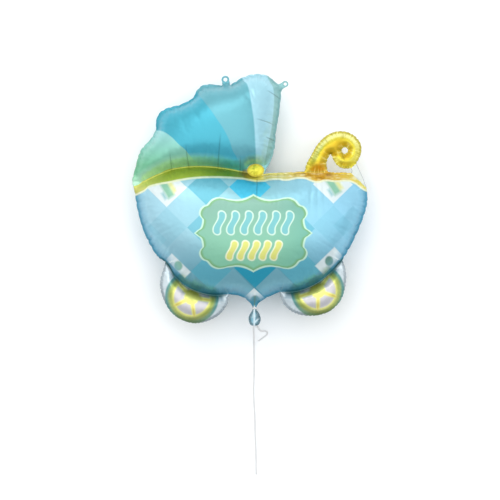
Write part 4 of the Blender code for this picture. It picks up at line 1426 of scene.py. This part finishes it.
def printed_foil():
    """Satin metallised foil with the print of the whole balloon, and painted light and shade over it."""
    finish, tree, shader = new_finish("Printed foil", FOIL_METAL, FOIL_ROUGHNESS)
    sheet = Print(tree)
    away, streaks = seam_fields(tree)
    bowl_inks(sheet)
    # Painted shade: the bowl turns a darker blue towards its seams.
    sheet.lay(away.under(*EDGE_BLUE_BAND) * 0.8, EDGE_SHADE_BLUE)
    raised = label_inks(sheet)
    rim_inks(sheet)
    hood_inks(sheet)
    handle_inks(sheet, away, streaks)
    rear, front = sheet.u.under(REAR_WHEEL_SIDE, 0.5), sheet.u.over(FRONT_WHEEL_SIDE, 0.5)
    rear_weld = weld_line(REAR_WHEEL_WELD, REAR_WHEEL_ENDS)
    front_weld = weld_line(FRONT_WHEEL_WELD, FRONT_WHEEL_ENDS)
    wheel_inks(sheet, away, rear, rear_weld, REAR_HUB, REAR_SPOKE_TURN)
    wheel_inks(sheet, away, front, front_weld, FRONT_HUB, FRONT_SPOKE_TURN)
    button_inks(sheet)
    creases = any_of([crease_mask(sheet, start, end) for start, end in CREASES])
    cloudy = noise(tree, sheet.place, CLOUD_SCALE, 3.0)
    # Random cloudy tone, and painted light and shade on the crinkles near the seams.
    tone = cloudy * CLOUD_SHARE + streaks * CRINKLE_LIGHT_SHADE_SHARE + TONE_BASE
    # Darker along the seams, and painted shade in the creases.
    tone = tone * (~(away.under(*SEAM_BAND) * SEAM_DARKENING)) * (~(creases * CREASE_SHADE_SHARE))
    tint = tree.nodes.new("ShaderNodeVectorMath")
    tint.operation = "SCALE"
    feed(tree, tint.inputs[0], sheet.colour)
    feed(tree, tint.inputs["Scale"], tone)
    feed(tree, shader.inputs["Base Color"], tint.outputs[0])
    grain = noise(tree, sheet.place, GRAIN_SCALE, 3.0)
    height = streaks * STREAK_RELIEF + grain * GRAIN_RELIEF + raised * STROKE_RELIEF
    emboss(tree, shader, height - creases * CREASE_RELIEF, BUMP_DEPTH)
    feed(tree, shader.inputs["Roughness"], cloudy * CLOUD_SHARE + (FOIL_ROUGHNESS - CLOUD_SHARE / 2))
    return finish


def clear_film():
    """The unprinted foil of the tail and of the web between the handle and the bowl, with painted glints,
    and painted shade and highlights on the tail.
    """
    finish, tree, shader = new_finish("Clear film", 0.0, FILM_ROUGHNESS)
    shader.inputs["Alpha"].default_value = FILM_COVER
    sheet = Print(tree)
    away, _ = seam_fields(tree)
    tail = sheet.v.over(TAIL_TOP, 4)
    streaks = noise(tree, sheet.place, FILM_STREAK_SCALE, 2.0)
    sheet.colour = mixed(tree, tail, FILM_TINT, TAIL_TINT)
    # Painted glints: white streaks over the film.
    sheet.lay(streaks.over(0.55, 0.12) * 0.35, WHITE)
    sheet.lay(away.under(*FILM_BAND) * 0.5, FILM_LINE)
    right, down, _ = sheet.around(TAIL_FOLD_PLACE)
    sheet.lay(tail & right.over(1.2, 1.0) & down.under(-1.0, 4) * 0.7, TAIL_SHADE)
    sheet.lay(tail & away.under(*TAIL_BAND) * 0.85, TAIL_SHADE)
    # Painted highlights down the tail's middle and along its fold.
    sheet.lay(tail & abs(right + 0.6).under(0.8, 0.9), TAIL_HIGHLIGHT)
    fold = abs(right * TAIL_FOLD_LEAN[0] + down * TAIL_FOLD_LEAN[1]).under(0.7, 0.8) & down.over(-3.5, 2.0)
    sheet.lay(tail & fold & right.over(0.4, 0.5), TAIL_HIGHLIGHT)
    feed(tree, shader.inputs["Base Color"], sheet.colour)
    emboss(tree, shader, streaks * FILM_RELIEF, BUMP_DEPTH)
    return finish


def ribbon_finish():
    """Curling ribbon: satin plastic with fine ribs along it."""
    finish, tree, shader = new_finish("Ribbon", 0.0, RIBBON_ROUGHNESS)
    across, _ = map_layer(tree, "Ribs")
    ribs = (across * RIB_TURNS).math("SINE")
    cloudy = noise(tree, object_place(tree), RIBBON_CLOUD_SCALE, 2.0)
    tone = mixed(tree, cloudy, RIBBON_GREY, RIBBON_SHADE)
    feed(tree, shader.inputs["Base Color"], tone)
    emboss(tree, shader, ribs, RIB_DEPTH, RIB_STRENGTH)
    return finish


def tie_place():
    """The middle of the tie round the neck, in the frame of the solids."""
    neck = pattern_point(NECK_MIDDLE)
    return np.array([*(neck - outline_middle()), float(seam_plane(neck[None])[0])])


def knot_centre(tie):
    """The middle of the knot, sunk a little into the underside of the band."""
    band = NECK_DEPTH / 2 + TOUCH_GAP + TIE_THICKNESS
    return tie - np.array([0.0, 0.0, band + KNOT_SIZE[2] / 2 - KNOT_SINK])


def ribbon_route(tie, steps):
    """The route from the knot's lower face down to the floor and along it."""
    start = knot_centre(tie) - np.array([0.0, KNOT_SIZE[1] / 2 + TOUCH_GAP, 0.0])
    drop = start[2] - RIBBON_WIDTH / 2 - TOUCH_GAP
    return np.array([(start[0] + x, start[1] + y, start[2] - drop * share) for x, y, share in steps])


def strip_mesh(name, line, sides, width, thickness, finish):
    """A flat strip along a line, with its width towards the given sides."""
    run = np.gradient(line, axis=0)
    run /= np.linalg.norm(run, axis=1)[:, None]
    face = np.cross(run, sides)
    places = places_along(line)
    mesh = bmesh.new()
    rings = []
    for point, side, up in zip(line, sides, face):
        rings.append([mesh.verts.new(point + side * a * width / 2 + up * b * thickness / 2)
                      for a, b in STRIP_SECTION])
    ribs = mesh.loops.layers.uv.new("Ribs")
    for k in range(len(rings) - 1):
        for m in range(len(STRIP_SECTION)):
            n = (m + 1) % len(STRIP_SECTION)
            made = mesh.faces.new((rings[k][m], rings[k][n], rings[k + 1][n], rings[k + 1][m]))
            made.smooth = True
            left, right = STRIP_ACROSS[m], STRIP_ACROSS[m + 1]
            for loop, value in zip(made.loops, ((left, k), (right, k), (right, k + 1), (left, k + 1))):
                loop[ribs].uv = (value[0], places[value[1]] * 10)
    mesh.faces.new(rings[0][::-1])
    mesh.faces.new(rings[-1])
    data = bpy.data.meshes.new(name)
    mesh.to_mesh(data)
    mesh.free()
    data.materials.append(finish)
    return added(name, data)


def make_ribbon(name, steps, step, tie, finish):
    """One length of the ribbon as a flat strip that turns slowly about its line."""
    route = ribbon_route(tie, steps)
    line = resample(smooth_curve(route), step)
    line[:, 2] = np.maximum(line[:, 2], RIBBON_WIDTH / 2 + TOUCH_GAP)
    exit_point = line[0].copy()
    places = places_along(line)
    run = np.gradient(line, axis=0)
    level = np.cross(run, (0.0, 0.0, 1.0))
    level /= np.linalg.norm(level, axis=1)[:, None]
    upright = np.cross(level, run)
    upright /= np.linalg.norm(upright, axis=1)[:, None]
    turn = RIBBON_TWIST * np.sin(2 * math.pi * places / RIBBON_TURN_LENGTH)
    sides = level * np.cos(turn)[:, None] + upright * np.sin(turn)[:, None]
    grounded = smooth_step((GROUNDED_BELOW - line[:, 2]) / (GROUNDED_BELOW / 2))
    rest = RIBBON_WIDTH / 2 * np.abs(np.sin(turn)) + RIBBON_THICKNESS / 2 + TOUCH_GAP
    line[:, 2] += (rest - line[:, 2]) * grounded
    strip = strip_mesh(name, line, sides, RIBBON_WIDTH, RIBBON_THICKNESS, finish)
    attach(strip, "root")
    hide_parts(name.replace("_strip", ""))
    return strip


def tie_band(tie, finish):
    """The ribbon's turns round the neck."""
    angles = np.linspace(0, 2 * math.pi * TIE_TURNS, TIE_POINTS)
    climb = np.linspace(-1, 1, TIE_POINTS) * (TIE_WIDTH - TIE_STRIP) / 2
    wide = NECK_WIDTH / 2 + TOUCH_GAP + TIE_THICKNESS / 2
    deep = NECK_DEPTH / 2 + TOUCH_GAP + TIE_THICKNESS / 2
    turns = np.column_stack([wide * np.sin(angles), climb, -deep * np.cos(angles)]) + tie
    sides = np.tile((0.0, 1.0, 0.0), (TIE_POINTS, 1))
    return strip_mesh("tie", turns, sides, TIE_STRIP, TIE_THICKNESS, finish)


def tie_knot(tie, finish):
    """The knot under the turns, as a small trefoil."""
    around = np.linspace(0, 2 * math.pi, KNOT_POINTS)
    loop = np.column_stack([np.sin(around) + 2 * np.sin(2 * around), np.cos(around) - 2 * np.cos(2 * around),
                            -np.sin(3 * around)])
    scale = [(side - TIE_STRIP * KNOT_SQUEEZE) / extent
             for side, extent in zip(KNOT_SIZE, np.ptp(loop, axis=0))]
    loop = loop * scale + knot_centre(tie)
    run = np.gradient(loop, axis=0)
    sides = np.cross(run, loop - knot_centre(tie) + (0.0, 0.0, 1e-4))
    sides /= np.linalg.norm(sides, axis=1)[:, None]
    return strip_mesh("tie_knot", loop, sides, TIE_STRIP * KNOT_SQUEEZE * KNOT_STRIP, TIE_THICKNESS, finish)


def make_tie(tie, finish):
    """The ribbon's turns round the neck and its knot, joined into one piece."""
    band, knot = tie_band(tie, finish), tie_knot(tie, finish)
    with bpy.context.temp_override(active_object=band, selected_editable_objects=[band, knot],
                                   selected_objects=[band, knot], object=band):
        bpy.ops.object.join()
    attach(band, "root")
    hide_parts("ribbon_knot")


def make_camera():
    """The camera looks straight down, framed as the picture is."""
    middle = outline_middle()
    data = bpy.data.cameras.new("Camera")
    data.sensor_width = SENSOR_WIDTH
    data.lens = SENSOR_WIDTH * CAMERA_DISTANCE / (PICTURE_WIDTH * UNIT)
    data.clip_end = 100.0
    camera = added("Camera", data)
    x = -middle[0]
    y = (ORIGIN_ROW - PICTURE_WIDTH / 2) * UNIT - middle[1]
    height = BODY_PUFF + SEAM_THICKNESS / 2 - REST_DENT + CAMERA_DISTANCE
    camera.location = (x, y, height)
    bpy.context.scene.camera = camera


def softbox(name, place, size, power):
    """A rectangular studio light aimed at the balloon."""
    data = bpy.data.lights.new(name, "AREA")
    data.shape = "RECTANGLE"
    data.size, data.size_y = size
    data.energy = power
    light = added(name, data)
    light.location = place
    light.rotation_euler = (Vector(LIGHT_TARGET) - Vector(place)).to_track_quat("-Z", "Y").to_euler()


def make_studio():
    """A pale floor, soft light from above the hood and a room that is darker below the bowl."""
    mesh = bpy.data.meshes.new("floor")
    half = FLOOR_SIZE / 2
    mesh.from_pydata([(-half, -half, 0), (half, -half, 0), (half, half, 0), (-half, half, 0)], [],
                     [(0, 1, 2, 3)])
    finish, _, shader = new_finish("Floor", 0.0, FLOOR_ROUGHNESS)
    shader.inputs["Base Color"].default_value = ink(FLOOR_WHITE)
    mesh.materials.append(finish)
    floor = added("floor", mesh)
    for name, place, size, power in SOFTBOXES:
        softbox(name, place, size, power)
    world = bpy.data.worlds.new("Room")
    bpy.context.scene.world = world
    world.use_nodes = True
    tree = world.node_tree
    _, upward = split(tree, tree.nodes.new("ShaderNodeTexCoord").outputs["Generated"])
    glow = mixed(tree, upward.over(0.1, 1.6), ROOM_LOW, ROOM_HIGH)
    feed(tree, tree.nodes["Background"].inputs["Color"], glow)
    tree.nodes["Background"].inputs["Strength"].default_value = ROOM_STRENGTH
    bpy.context.scene.view_settings.view_transform = "Standard"


def main():
    """Dress the solids."""
    make_camera()
    tie = tie_place()
    plastic = ribbon_finish()
    make_ribbon("ribbon_strip", RIBBON_ROUTE, RIBBON_STEP, tie, plastic)
    make_ribbon("ribbon_end_strip", END_ROUTE, END_STEP, tie, plastic)
    make_tie(tie, plastic)
    make_foil(printed_foil(), clear_film())
    make_studio()


main()
